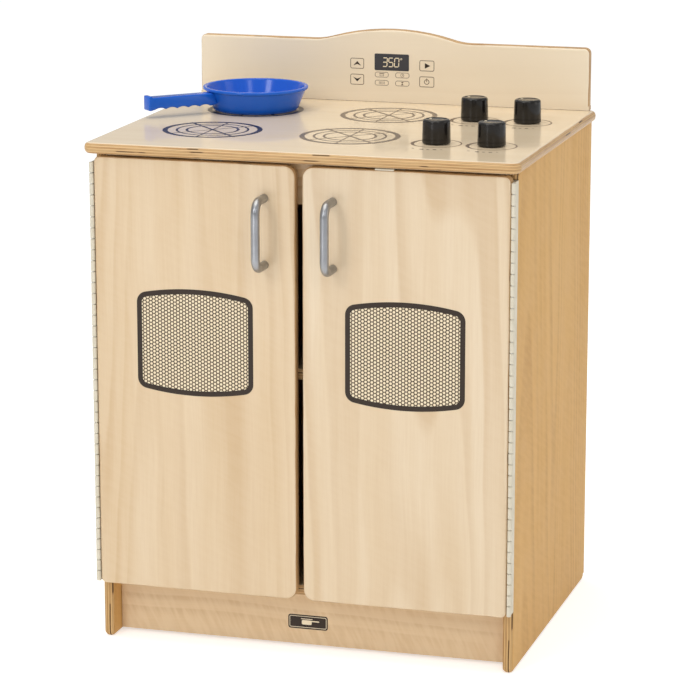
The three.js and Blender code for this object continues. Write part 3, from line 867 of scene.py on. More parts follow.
@dataclass(frozen=True)
class BirchPly:
    """Lacquered birch plywood.

    Attributes:
        name: the material's name.
        lay: how the veneer lies.
        seed: picks this panel's own figure.
        warmth: 0 for pale sapwood to 1 for honey-coloured wood; the side panels go past 1, where it also paints
            their shade.
        rough: roughness of the lacquer.
        coat: weight of the clear coat.
        coat_rough: roughness of the clear coat.
        shine: how much the lacquer mirrors.
        thickness: the panel's thickness in metres.
        plies: number of inner plies.
        arch_scale: size of the growth arches; more is smaller.
        stretch: how short the arches are along the grain.
        growth: how strongly the growth lines show.
        curl: how strongly the ripple across the grain shows.
        pale: share of near-white sapwood.
        relief: strength of the grain's relief.
        smear: how much rougher a handled patch is.
    """

    name: str
    lay: Lay
    seed: float
    warmth: float = 0.3
    rough: float = 0.36
    coat: float = 0.25
    coat_rough: float = 0.12
    shine: float = 0.3
    thickness: float = 0.0127
    plies: float = 7.0
    arch_scale: float = 7.0
    stretch: float = 0.05
    growth: float = 0.42
    curl: float = 0.1
    pale: float = 0.0
    relief: float = 0.35
    smear: float = 0.07

    def build(self, effects: Effects) -> Material:
        """Builds the material."""
        material, w, surface, where = start_material(self.name)
        place = w.node("ShaderNodeSeparateXYZ", {0: where})
        depth = w.maths("SUBTRACT", place.outputs[self.lay.into.value], self.lay.face)
        own = w.vector(place.outputs[self.lay.across.value], place.outputs[self.lay.along.value], depth)
        figure = use_group(
            w, effects.birch,
            {"Vector": own, "Arch Scale": self.arch_scale, "Stretch": self.stretch, "Seed": self.seed},
        )
        layers = use_group(w, effects.ply, {"Vector": own, "Thickness": self.thickness, "Plies": self.plies})

        def warm(pale: Colour, honey: Colour) -> Colour:
            """A colour between pale and honey by this panel's warmth."""
            mixed = [p + (h - p) * self.warmth for p, h in zip(pale, honey)]
            return tuple(m + (s - m) * self.pale for m, s in zip(mixed, (0.87, 0.76, 0.59)))

        light = warm((0.785, 0.665, 0.505), (0.73, 0.465, 0.195))
        middle = warm((0.695, 0.54, 0.355), (0.62, 0.36, 0.125))
        line = warm((0.53, 0.345, 0.17), (0.45, 0.235, 0.08))
        fibre = warm((0.62, 0.44, 0.26), (0.53, 0.31, 0.13))
        colour = w.blend(figure.outputs["Tone"], light, middle)
        colour = w.blend(w.maths("MULTIPLY", figure.outputs["Growth"], self.growth), colour, line)
        colour = w.blend(w.maths("MULTIPLY", figure.outputs["Fibre"], 0.2), colour, fibre)
        colour = w.blend(w.maths("MULTIPLY", figure.outputs["Mottle"], self.curl), colour, light)
        colour = w.blend(w.maths("MULTIPLY", layers.outputs["Core"], 0.92), colour, (0.66, 0.43, 0.20))
        colour = w.blend(w.maths("MULTIPLY", layers.outputs["Cross"], 0.9), colour, (0.36, 0.17, 0.055))
        colour = w.blend(w.maths("MULTIPLY", layers.outputs["Glue"], 0.65), colour, (0.13, 0.055, 0.018))
        # Painted shade: the core's small voids are real gaps, coloured near-black for the shade in their hollows.
        colour = w.blend(w.maths("MULTIPLY", layers.outputs["Void"], 0.9), colour, (0.035, 0.015, 0.006))
        w.feed(surface.inputs["Base Color"], colour)
        touched = use_group(w, effects.handled, {"Vector": where})
        rough = w.maths("MULTIPLY_ADD", touched.outputs["Smear"], self.smear, self.rough)
        rough = w.maths("MULTIPLY_ADD", layers.outputs["Cross"], 0.12, rough)
        w.feed(surface.inputs["Roughness"], rough)
        coat = w.maths("MULTIPLY", w.between(layers.outputs["Core"], 0.0, 0.5, 1.0, 0.0), self.coat)
        w.feed(surface.inputs["Coat Weight"], coat)
        set_plain(surface, coat_roughness=self.coat_rough, ior=1.45)
        surface.inputs["Specular IOR Level"].default_value = self.shine
        height = w.maths(
            "MULTIPLY_ADD", figure.outputs["Fibre"], -0.35,
            w.maths("MULTIPLY", figure.outputs["Growth"], -0.3),
        )
        height = w.maths("SUBTRACT", height, w.maths("MULTIPLY", layers.outputs["Cross"], 0.9))
        height = w.maths("SUBTRACT", height, w.maths("MULTIPLY", layers.outputs["Void"], 4.0))
        add_bump(w, surface, height, self.relief, 0.00012)
        return material


@dataclass(frozen=True)
class Ink:
    """A screen-printed ink under the panel's lacquer, slightly uneven in density."""

    name: str
    colour: Colour
    thin: Colour
    show: float = 0.35
    rough: float = 0.4
    coat: float = 0.0
    shine: float = 0.3

    def build(self, effects: Effects) -> Material:
        """Builds the material."""
        material, w, surface, where = start_material(self.name)
        film = use_group(w, effects.ink, {"Vector": where})
        share = w.maths("MULTIPLY", film.outputs["Thin"], self.show)
        w.feed(surface.inputs["Base Color"], w.blend(share, self.colour, self.thin))
        w.feed(surface.inputs["Roughness"], w.maths("MULTIPLY_ADD", film.outputs["Thin"], 0.12, self.rough))
        set_plain(surface, coat_weight=self.coat, coat_roughness=0.06)
        surface.inputs["Specular IOR Level"].default_value = self.shine
        add_bump(w, surface, film.outputs["Thin"], 0.15, 0.00003)
        return material


@dataclass(frozen=True)
class Plastic:
    """Moulded plastic with its faint mould grain, smears and scuffs."""

    name: str
    colour: Colour
    worn: Colour
    rough: float
    grain: float = 0.12
    smear: float = 0.1
    coat: float = 0.0
    shine: float = 0.5

    def build(self, effects: Effects) -> Material:
        """Builds the material."""
        material, w, surface, where = start_material(self.name)
        touched = use_group(w, effects.handled, {"Vector": where, "Smear Scale": 35.0, "Grain Scale": 1500.0})
        tint = w.blend(w.maths("MULTIPLY", touched.outputs["Smear"], 0.25), self.colour, self.worn)
        tint = w.blend(w.maths("MULTIPLY", touched.outputs["Scuff"], 0.15), tint, self.worn)
        w.feed(surface.inputs["Base Color"], tint)
        rough = w.maths("MULTIPLY_ADD", touched.outputs["Smear"], self.smear, self.rough)
        w.feed(surface.inputs["Roughness"], w.maths("MULTIPLY_ADD", touched.outputs["Scuff"], 0.08, rough))
        set_plain(surface, ior=1.5, coat_weight=self.coat, coat_roughness=0.08)
        surface.inputs["Specular IOR Level"].default_value = self.shine
        height = w.maths("MULTIPLY_ADD", touched.outputs["Scuff"], -0.6, touched.outputs["Grain"])
        add_bump(w, surface, height, self.grain, 0.00005)
        return material


class Draw(Enum):
    """The way a metal's brush marks run."""

    UPRIGHT = (1.0, 1.0, 0.02)
    EVEN = (1.0, 1.0, 1.0)


@dataclass(frozen=True)
class Metal:
    """Bare or plated metal with brush marks, slight tarnish and smears."""

    name: str
    colour: Colour
    dull: Colour
    rough: float
    draw: Draw = Draw.EVEN
    marks: float = 0.2
    metallic: float = 1.0
    coat: float = 0.0

    def build(self, effects: Effects) -> Material:
        """Builds the material."""
        material, w, surface, where = start_material(self.name)
        touched = use_group(w, effects.handled, {"Vector": where, "Smear Scale": 60.0, "Grain Scale": 700.0})
        drawn = w.node(
            "ShaderNodeVectorMath", {0: where, 1: self.draw.value}, operation="MULTIPLY",
        ).outputs[0]
        brush = w.noise(drawn, 2600.0, 3.0, 0.6)
        w.feed(
            surface.inputs["Base Color"],
            w.blend(w.maths("MULTIPLY", touched.outputs["Smear"], 0.5), self.colour, self.dull),
        )
        rough = w.maths("MULTIPLY_ADD", touched.outputs["Smear"], 0.1, self.rough)
        w.feed(surface.inputs["Roughness"], w.maths("MULTIPLY_ADD", brush, 0.12, rough))
        set_plain(surface, metallic=self.metallic, coat_weight=self.coat)
        height = w.maths("MULTIPLY_ADD", touched.outputs["Grain"], 0.4, brush)
        add_bump(w, surface, height, self.marks, 0.00004)
        return material


@dataclass
class Finishes:
    """Every material of the stove, by name."""

    effects: Effects
    made: dict[str, Material] = field(default_factory=dict)

    def add(self, finish: BirchPly | Ink | Plastic | Metal) -> None:
        """Builds one finish."""
        self.made[finish.name] = finish.build(self.effects)

    def __getitem__(self, name: str) -> Material:
        """The material of that name."""
        return self.made[name]


def build_finishes() -> Finishes:
    """Builds every finish of the stove."""
    shop = Finishes(Effects.build())
    x, y, z = Axis.X, Axis.Y, Axis.Z
    low = {name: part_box(name)[0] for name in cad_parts}
    fronts = {
        "birch_door_left": ("door_left", x, z, 3.1, 0.16, 7.0, 0.1, 0.0),
        "birch_door_right": ("door_right", x, z, 11.7, 0.12, 7.0, 0.1, 0.05),
        "birch_backsplash": ("backsplash", z, x, 5.2, 0.0, 8.0, 0.15, 0.85),
        "birch_toe_kick": ("toe_kick", z, x, 8.4, 0.5, 9.0, 0.55, 0.12),
        "birch_rail": ("front_top_rail", z, x, 2.2, 0.5, 8.0, 0.1, 0.0),
    }
    for name, (node, across, along, seed, warmth, arches, curl, pale) in fronts.items():
        lay = Lay(across, along, y, low[node].y)
        shop.add(BirchPly(name, lay, seed, warmth, coat=0.12, arch_scale=arches, curl=curl, pale=pale))
    # Partly painted shade: the side panels get a darker, more orange copy of the birch (warmth 1.06, past honey).
    # This is partly the sides' own warmer tone and partly the shade on sides that face away from the key light.
    for side, seed in (("left", 6.6), ("right", 9.3)):
        lay = Lay(y, z, x, low[f"side_panel_{side}"].x)
        wood = BirchPly(
            f"birch_side_{side}", lay, seed, warmth=1.06, rough=0.5, coat=0.0, shine=0.15,
            arch_scale=6.0, growth=0.4, curl=0.3,
        )
        shop.add(wood)
    top = Lay(y, x, z, low["worktop"].z)
    worktop = BirchPly(
        "birch_worktop", top, seed=4.4, warmth=0.3, rough=0.24, coat=0.42, coat_rough=0.06, shine=0.2,
        growth=0.05, curl=0.02, pale=0.5, relief=0.0, smear=0.0,
    )
    shop.add(worktop)
    for node, seed in (("bottom_panel", 1.3), ("middle_shelf", 7.7)):
        shop.add(BirchPly(f"birch_{node}", Lay(y, x, z, low[node].z), seed, 0.4, arch_scale=6.0))
    thin = Lay(x, z, y, low["back_panel"].y)
    shop.add(BirchPly("thin_birch", thin, 12.5, 0.75, 0.5, 0.08, thickness=0.006, plies=3.0))
    cleat = Lay(x, y, z, low["top_cleat_left"].z)
    shop.add(BirchPly("birch_cleat", cleat, seed=14.2, warmth=0.5, thickness=0.019, plies=9.0))

    shop.add(Ink("ink_brown", (0.030, 0.019, 0.013), (0.060, 0.038, 0.024)))
    shop.add(Ink("ink_navy", (0.010, 0.008, 0.026), (0.035, 0.025, 0.05), rough=0.3, coat=0.08))
    shop.add(Ink("ink_tan", (0.125, 0.092, 0.068), (0.27, 0.20, 0.14), show=0.6, rough=0.3, coat=0.1))
    shop.add(Ink("ink_line", (0.15, 0.10, 0.065), (0.25, 0.175, 0.11), show=0.5))
    shop.add(Ink("ink_net", (0.085, 0.055, 0.028), (0.14, 0.10, 0.06), show=0.4))
    shop.add(Ink("ink_cream", (0.86, 0.75, 0.55), (0.78, 0.66, 0.46), show=0.3))
    shop.add(Ink("ink_grey", (0.045, 0.045, 0.052), (0.07, 0.068, 0.075), show=0.4))

    shop.add(Metal("satin_steel", (0.38, 0.39, 0.415), (0.28, 0.285, 0.30), 0.22, Draw.UPRIGHT))
    shop.add(Metal("zinc_plate", (0.62, 0.63, 0.66), (0.46, 0.46, 0.47), 0.3))
    shop.add(Metal("cream_enamel", (0.70, 0.65, 0.53), (0.60, 0.54, 0.41), 0.4, metallic=0.0, coat=0.1))
    shop.add(Metal("ferrite", (0.05, 0.05, 0.055), (0.09, 0.085, 0.08), 0.5, metallic=0.4))
    shop.add(Plastic("black_gloss", (0.0075, 0.0062, 0.0055), (0.018, 0.016, 0.014), 0.15, shine=0.4))
    shop.add(Plastic("white_catch", (0.74, 0.70, 0.60), (0.60, 0.55, 0.45), 0.42))
    shop.add(Plastic("blue_gloss", (0.008, 0.110, 0.60), (0.012, 0.135, 0.66), 0.14, 0.05, 0.05, shine=0.35))
    return shop


# ---- Cabinet -----------------------------------------------------------------------------------
@dataclass
class Cabinet:
    """The fixed plywood panels.

    Attributes:
        shop: the finishes.
        arris: rounding on edges that are square in the CAD, in millimetres.
    """

    shop: Finishes
    arris: float = 0.7

    def build(self) -> None:
        """Makes every fixed panel."""
        rounded = {
            "side_panel_left": "birch_side_left",
            "side_panel_right": "birch_side_right",
            "worktop": "birch_worktop",
            "backsplash": "birch_backsplash",
        }
        for node, finish in rounded.items():
            placed(copied(node, f"{node}_ply"), "cabinet", "birch_ply", self.shop[finish])
        square = {
            "bottom_panel": "birch_bottom_panel",
            "middle_shelf": "birch_middle_shelf",
            "toe_kick": "birch_toe_kick",
            "front_top_rail": "birch_rail",
            "top_cleat_left": "birch_cleat",
            "top_cleat_right": "birch_cleat",
        }
        for node, finish in square.items():
            piece = copied(node, f"{node}_ply", soft=self.arris)
            placed(piece, "cabinet", "birch_ply", self.shop[finish])
        placed(
            copied("back_panel", "back_panel_ply", soft=0.4), "cabinet", "thin_ply",
            self.shop["thin_birch"],
        )


# ---- Screws ------------------------------------------------------------------------------------
@dataclass(frozen=True)
class Screw:
    """A wood or machine screw with a cross recess; its head's top is at the origin and faces +Z.

    Attributes:
        head: radius of the head in millimetres.
        height: height of the head.
        shank: radius of the shank.
        length: length under the head.
    """

    head: float
    height: float
    shank: float
    length: float
    domed: bool = True

    def _cross(self, name: str) -> Object:
        """The cross-shaped punch that the recess is cut with."""
        draft = MeshDraft()
        reach, half, deep = self.head * 0.52, self.head * 0.11, self.height * 0.55
        block(draft, (-reach, -half, -deep), (reach, half, 1))
        cut = draft.finish(f"{name}_punch_a")
        draft = MeshDraft()
        block(draft, (-half, -reach, -deep * 1.01), (half, reach, 1.1))
        other = draft.finish(f"{name}_punch_b")
        joint = cut.modifiers.new("both arms", "BOOLEAN")
        joint.operation, joint.object, joint.solver = "UNION", other, "EXACT"
        applied(cut)
        bpy.data.objects.remove(other)
        return cut

    def build(self, name: str) -> Object:
        """Makes one screw to be repeated."""
        draft = MeshDraft()
        r, h = self.head, self.height
        if self.domed:
            top = [
                (0, 0), (r * 0.5, -h * 0.06), (r * 0.8, -h * 0.25), (r * 0.95, -h * 0.55),
                (r, -h * 0.85), (r, -h),
            ]
        else:
            top = [(0, 0), (r * 0.93, 0), (r, -h * 0.2), (r, -h * 0.45), (self.shank, -h)]
        s, end = self.shank, -h - self.length
        profile = top + [(s, -h), (s, end + 2), (s * 0.35, end + 0.4), (0, end)]
        turned(draft, profile, 20)
        made = draft.finish(name)
        punch = self._cross(name)
        recess = made.modifiers.new("recess", "BOOLEAN")
        recess.operation, recess.object, recess.solver = "DIFFERENCE", punch, "EXACT"
        applied(made)
        bpy.data.objects.remove(punch)
        shade(made.data, 35.0)
        return made


@dataclass
class ScrewSet:
    """Sets screws where the CAD has them, and fine ones in the hinge leaves.

    Attributes:
        shop: the finishes.
        tree: the tree that repeats a piece on points.
    """

    shop: Finishes
    tree: bpy.types.NodeTree

    def set(
        self, name: str, screw: Screw, body: str, facing: Facing, points: Sequence[Vector], nodes: Sequence[str] = ()
    ) -> Object:
        """Sets one kind of screw on its points.

        Args:
            name: the new piece's name.
            screw: the screw to repeat.
            body: the body the screws move with.
            facing: the way their heads look.
            points: the middle of each head's top, in metres.
            nodes: the CAD nodes the screws stand for.

        Returns:
            The finished piece.
        """
        one = screw.build(f"{name}_one")
        values = {
            "Piece": one,
            "Facing": facing.value,
            "Turn": math.tau,
            "Seed": len(name),
            "Finish": self.shop["zinc_plate"],
        }
        made = grown(name, self.tree, values, points)
        bpy.data.objects.remove(one)
        if nodes:
            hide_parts(*nodes)
        return placed(made, body, "zinc_steel")

    def at_nodes(self, name: str, screw: Screw, body: str, facing: Facing, nodes: Sequence[str]) -> Object:
        """Sets one kind of screw where CAD nodes are."""
        points = []
        for node in nodes:
            low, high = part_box(node)
            middle = (low + high) / 2
            if facing is Facing.DOWN:
                middle.z = low.z
            elif facing is Facing.FRONT:
                middle.y = low.y
            else:
                middle.y = high.y
            points.append(middle)
        return self.set(name, screw, body, facing, points, nodes)

    def build(self) -> None:
        """Sets every screw of the cabinet and the doors."""
        sides = ("left", "right")
        cleats = [f"cleat_screw_{side}_{i}" for side in sides for i in (1, 2)]
        self.at_nodes("cleat_screws", Screw(4.2, 2.6, 2, 28), "cabinet", Facing.DOWN, cleats)
        splash = [f"backsplash_screw_{i}" for i in (1, 2, 3)]
        self.at_nodes("backsplash_screws", Screw(4.2, 2.6, 2, 31.7), "cabinet", Facing.DOWN, splash)
        catches = [f"catch_screw_{side}" for side in sides]
        self.at_nodes("catch_screws", Screw(2.6, 1.2, 1.25, 11, False), "cabinet", Facing.FRONT, catches)
        for side in sides:
            pulls = [f"handle_screw_{side}_{level}" for level in ("lower", "upper")]
            self.at_nodes(f"handle_screws_{side}", Screw(4, 2.4, 2, 21.5), f"{side}_door", Facing.BACK, pulls)
            strike = Screw(2.6, 0.5, 1.25, 9, False)
            self.at_nodes(
                f"strike_screws_{side}", strike, f"{side}_door", Facing.BACK,
                [f"strike_screw_{side}"],
            )


# ---- Doors -------------------------------------------------------------------------------------
@dataclass
class Door:
    """One door with its pull, printed window and strike plate; sizes are in millimetres."""

    side: str
    shop: Finishes
    net: bpy.types.NodeTree
    window_centre: Point2 = (123.6, 365.6)
    window_half: Point2 = (69.4, 54.2)
    arch: float = 7.8
    corner: float = 12.5
    frame_stroke: float = 5.9
    pitch: float = 4.2
    line: float = 1.15
    dot: float = 1.5
    bend: float = 14.0
    bar: float = 5.0

    @property
    def sign(self) -> int:
        """-1 for the left door and 1 for the right one."""
        return 1 if self.side == "right" else -1

    def _window_outline(self, shrink: float) -> list[Point2]:
        """The window's outline: upright sides, arched top and bottom, round corners."""
        half_x, half_y = self.window_half
        radius = (half_x * half_x + self.arch * self.arch) / (2 * self.arch)
        lean = math.asin(half_x / radius)
        corner = self.corner
        top: list[Point2] = []
        swing = math.pi / 2 - lean
        for i in range(13):
            turn = swing * i / 12
            top.append(
                (
                    half_x - corner + corner * math.cos(turn),
                    half_y + self._rise(half_x - corner) - corner + corner * math.sin(turn),
                )
            )
        start = top[-1][0]
        lift = top[-1][1] - (half_y + self._rise(start))
        top = [(x, y - lift) for x, y in top]
        for i in range(1, 48):
            x = start - 2 * start * i / 48
            top.append((x, half_y + self._rise(x)))
        top += [(-x, y) for x, y in reversed(top[:13])]
        outline = top + [(-x, -y) for x, y in top]
        centre = (self.sign * self.window_centre[0], self.window_centre[1])
        shape = inset(outline, shrink) if shrink else outline
        return [(centre[0] + x, centre[1] + y) for x, y in shape]

    def _rise(self, x: float) -> float:
        """How far the arch stands above its springing at x."""
        half_x = self.window_half[0]
        radius = (half_x * half_x + self.arch * self.arch) / (2 * self.arch)
        return math.sqrt(radius * radius - x * x) - radius + self.arch

    def _cell(self, name: str) -> Object:
        """One cell of the net: a six-sided line."""
        draft = MeshDraft()
        outer = self.pitch / math.sqrt(3)
        inner = outer - self.line / 2 * 2 / math.sqrt(3)
        rings = [circle((0, 0), r, 6) for r in (outer, inner)]
        verts = [(x, y, h) for ring in rings for h in (-0.05, 0.09) for x, y in ring]
        faces = []
        for i in range(6):
            j = (i + 1) % 6
            faces += [[6 + i, 6 + j, 18 + j, 18 + i], [j, i, 12 + i, 12 + j], [i, j, 6 + j, 6 + i]]
            faces.append([12 + j, 12 + i, 18 + i, 18 + j])
        draft.add(verts, faces)
        return draft.finish(name, smooth_angle=None, recalculate=False)

    def _dot(self, name: str) -> Object:
        """The round dot inside a cell."""
        draft = MeshDraft()
        turned(draft, [(0, -0.05), (self.dot, -0.05), (self.dot, 0.09), (0, 0.09)], 12)
        return draft.finish(name, smooth_angle=None)

    def build_window(self) -> None:
        """Prints the oven window: a dark frame round a honeycomb of lines and dots."""
        body, slot_face = f"{self.side}_door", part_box(f"door_{self.side}")[0].y / MM
        sheet = InkSheet(Facing.FRONT, slot_face, film=0.14)
        sheet.band(self._window_outline(0.0), self._window_outline(self.frame_stroke))
        placed(sheet.finish(f"window_frame_{self.side}"), body, "ink_brown", self.shop["ink_brown"])
        half = self.frame_stroke / 2
        values: dict[str, object] = {
            "Centre": Vector((self.sign * self.window_centre[0], slot_face, self.window_centre[1])) * MM,
            "Pitch": self.pitch * MM,
            "Half Width": (self.window_half[0] - half) * MM,
            "Half Height": (self.window_half[1] - half) * MM,
            "Arch": self.arch * MM,
        }
        for kind, one, slot in (
            ("net", self._cell("cell"), "ink_tan"),
            ("dots", self._dot("dot"), "ink_cream"),
        ):
            finish = self.shop["ink_net" if kind == "net" else "ink_cream"]
            made = grown(f"window_{kind}_{self.side}", self.net, {**values, "Piece": one, "Finish": finish})
            bpy.data.objects.remove(one)
            placed(made, body, slot)

    def build_pull(self) -> None:
        """Bends the round bar of the pull."""
        low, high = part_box(f"handle_{self.side}")
        x = (low.x + high.x) / 2 / MM
        foot, front = high.y / MM, low.y / MM + self.bar
        bottom, top = low.z / MM + self.bar, high.z / MM - self.bar
        bend = self.bend
        path = [Vector((x, foot, bottom)), Vector((x, (foot + front + bend) / 2, bottom))]
        for i in range(13):
            turn = math.pi / 2 * i / 12
            path.append(Vector((x, front + bend - bend * math.sin(turn), bottom + bend - bend * math.cos(turn))))
        for i in range(1, 6):
            path.append(Vector((x, front, bottom + bend + (top - bottom - 2 * bend) * i / 6)))
        for i in range(13):
            turn = math.pi / 2 * i / 12
            path.append(Vector((x, front + bend - bend * math.cos(turn), top - bend + bend * math.sin(turn))))
        path += [Vector((x, (foot + front + bend) / 2, top)), Vector((x, foot, top))]
        draft = MeshDraft()
        swept(draft, path, self.bar, 32)
        pull = draft.finish(f"pull_{self.side}", smooth_angle=50.0)
        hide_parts(f"handle_{self.side}")
        placed(pull, f"{self.side}_door", "handle_steel", self.shop["satin_steel"])

    def build(self) -> None:
        """Makes the door and what is fixed to it."""
        node = f"door_{self.side}"
        placed(copied(node, f"{node}_ply"), f"{self.side}_door", "birch_ply", self.shop[f"birch_{node}"])
        strike = copied(f"strike_plate_{self.side}", f"strike_{self.side}", soft=0.2)
        placed(strike, f"{self.side}_door", "zinc_steel", self.shop["zinc_plate"])
        self.build_window()
        self.build_pull()


# ---- Hinges ------------------------------------------------------------------------------------
@dataclass
class Hinge:
    """A continuous hinge: two folded leaves with rolled knuckles, on one pin; in millimetres."""

    side: str
    shop: Finishes
    row: bpy.types.NodeTree
    screws: ScrewSet
    axis: Point2 = (245.8, -179.0)
    low: float = 73.1
    knuckles: int = 39
    pitch: float = 12.7
    gap: float = 0.8
    barrel: float = 2.6
    leaf: float = 1.2
    clear: float = 2.9
    screw_pitch: float = 50.8

    @property
    def sign(self) -> int:
        """-1 for the left hinge and 1 for the right one."""
        return 1 if self.side == "right" else -1

    def _knuckle(self, name: str, web_x: float) -> Object:
        """One rolled knuckle with the web that joins it to its leaf, along +Z from 0."""
        draft = MeshDraft()
        tall, r, soft = self.pitch - self.gap, self.barrel, 0.4
        turned(draft, [(0, 0), (r - soft, 0), (r, soft), (r, tall - soft), (r - soft, tall), (0, tall)], 20)
        x0, x1 = sorted((self.sign * web_x, self.sign * (web_x + self.leaf)))
        block(draft, (x0, 0, 0), (x1, self.clear + 0.4, tall))
        return draft.finish(name, smooth_angle=35.0, recalculate=False)

    def _plates(self, boxes: Sequence[tuple[Sequence[float], Sequence[float]]]) -> Object:
        """The flat parts of one leaf."""
        draft = MeshDraft()
        for low, high in boxes:
            xs = sorted((self.sign * low[0], self.sign * high[0]))
            block(draft, (xs[0], low[1], low[2]), (xs[1], high[1], high[2]))
        x, y = self.sign * self.axis[0], self.axis[1]
        made = draft.finish("plates", (x * MM, y * MM, 0), smooth_angle=None, recalculate=False)
        return softened(made, 0.3, 1)

    def _leaf(self, name: str, body: str, boxes: Sequence, web_x: float, first: int, node: str) -> Object:
        """Joins the plates of one leaf with every second knuckle."""
        one = self._knuckle("knuckle", web_x)
        start = Vector((self.sign * self.axis[0], self.axis[1], self.low + first * self.pitch + self.gap / 2)) * MM
        count = (self.knuckles - first + 1) // 2
        values = {
            "Piece": one,
            "Count": count,
            "Start": start,
            "Step": Vector((0, 0, 2 * self.pitch * MM)),
            "Finish": self.shop["cream_enamel"],
        }
        rolled = grown(name, self.row, values)
        bpy.data.objects.remove(one)
        plates = self._plates(boxes)
        plates.data.materials.append(self.shop["cream_enamel"])
        whole = bmesh.new()
        for part in (rolled, plates):
            whole.from_mesh(part.data)
        for face in whole.faces:
            face.material_index = 0
        whole.to_mesh(rolled.data)
        whole.free()
        bpy.data.objects.remove(plates)
        shade(rolled.data, 35.0)
        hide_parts(node)
        return placed(rolled, body, "hinge_enamel")

    def build(self) -> None:
        """Makes both leaves, the pin and the leaves' screws."""
        low, high = self.low + 0.15, self.low + self.knuckles * self.pitch - 0.15
        frame_low, frame_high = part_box(f"hinge_{self.side}_frame_leaf")
        door_low, door_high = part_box(f"hinge_{self.side}_door_leaf")
        flange_y = frame_high.y / MM - self.axis[1]
        frame_x = -0.2
        edge = min(abs(frame_low.x), abs(frame_high.x)) / MM - self.axis[0]
        frame_boxes = [
            ((frame_x, self.clear, low), (frame_x + self.leaf, flange_y, high)),
            ((edge, flange_y - self.leaf, low), (frame_x + 0.1, flange_y, high)),
        ]
        self._leaf(
            f"hinge_{self.side}_fixed", "cabinet", frame_boxes, frame_x, 0,
            f"hinge_{self.side}_frame_leaf",
        )
        door_x = min(abs(door_low.x), abs(door_high.x)) / MM - self.axis[0]
        door_boxes = [((door_x, self.clear, low), (door_x + self.leaf, door_high.y / MM - self.axis[1], high))]
        body = f"{self.side}_door"
        self._leaf(f"hinge_{self.side}_swing", body, door_boxes, door_x, 1, f"hinge_{self.side}_door_leaf")

        draft = MeshDraft()
        ends = (self.low + 0.05, self.low + self.knuckles * self.pitch - 0.05)
        turned(
            draft,
            [(0, ends[0]), (1.0, ends[0]), (1.2, ends[0] + 0.3), (1.2, ends[1] - 0.3), (1.0, ends[1]), (0, ends[1])],
            16,
        )
        pin = draft.finish(f"hinge_{self.side}_rod", (self.sign * self.axis[0] * MM, self.axis[1] * MM, 0))
        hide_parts(f"hinge_{self.side}_pin")
        placed(pin, "cabinet", "zinc_steel", self.shop["zinc_plate"])

        rows = [low + 25.4 + i * self.screw_pitch for i in range(10)]
        flange_x = self.sign * (self.axis[0] + edge + 2.6)
        flange_face = self.axis[1] + flange_y - self.leaf - 0.3
        fixed = [Vector((flange_x, flange_face, z)) * MM for z in rows]
        small = Screw(1.9, 0.9, 0.9, 9, False)
        self.screws.set(f"hinge_{self.side}_fixed_screws", small, "cabinet", Facing.FRONT, fixed)
        face_x = self.sign * (self.axis[0] + door_x + self.leaf + 0.3)
        leaf_y = self.axis[1] + self.clear + 4.6
        facing = Facing.RIGHT if self.sign > 0 else Facing.LEFT
        swing = [Vector((face_x, leaf_y, z + 12.7)) * MM for z in rows[:-1]]
        self.screws.set(f"hinge_{self.side}_swing_screws", small, body, facing, swing)


# ---- Catches -----------------------------------------------------------------------------------
def build_catches(shop: Finishes) -> None:
    """Dresses the magnetic catches behind the doors' top corners."""
    for side in ("left", "right"):
        housing = copied(f"catch_housing_{side}", f"catch_{side}", soft=0.5)
        placed(housing, "cabinet", "catch_plastic", shop["white_catch"])
        magnet = copied(f"catch_magnet_{side}", f"magnet_{side}", soft=0.25)
        placed(magnet, "cabinet", "magnet", shop["ferrite"])
    door_low, door_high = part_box("door_right")
    draft = MeshDraft()
    top = door_high.z / MM
    block(draft, (88.0, door_low.y / MM + 0.6, top - 0.4), (110.0, door_high.y / MM - 0.6, top + 1.7))
    pad = softened(draft.finish("door_bumper_pad", smooth_angle=None), 0.7, 3)
    placed(pad, "right_door", "catch_plastic", shop["white_catch"])


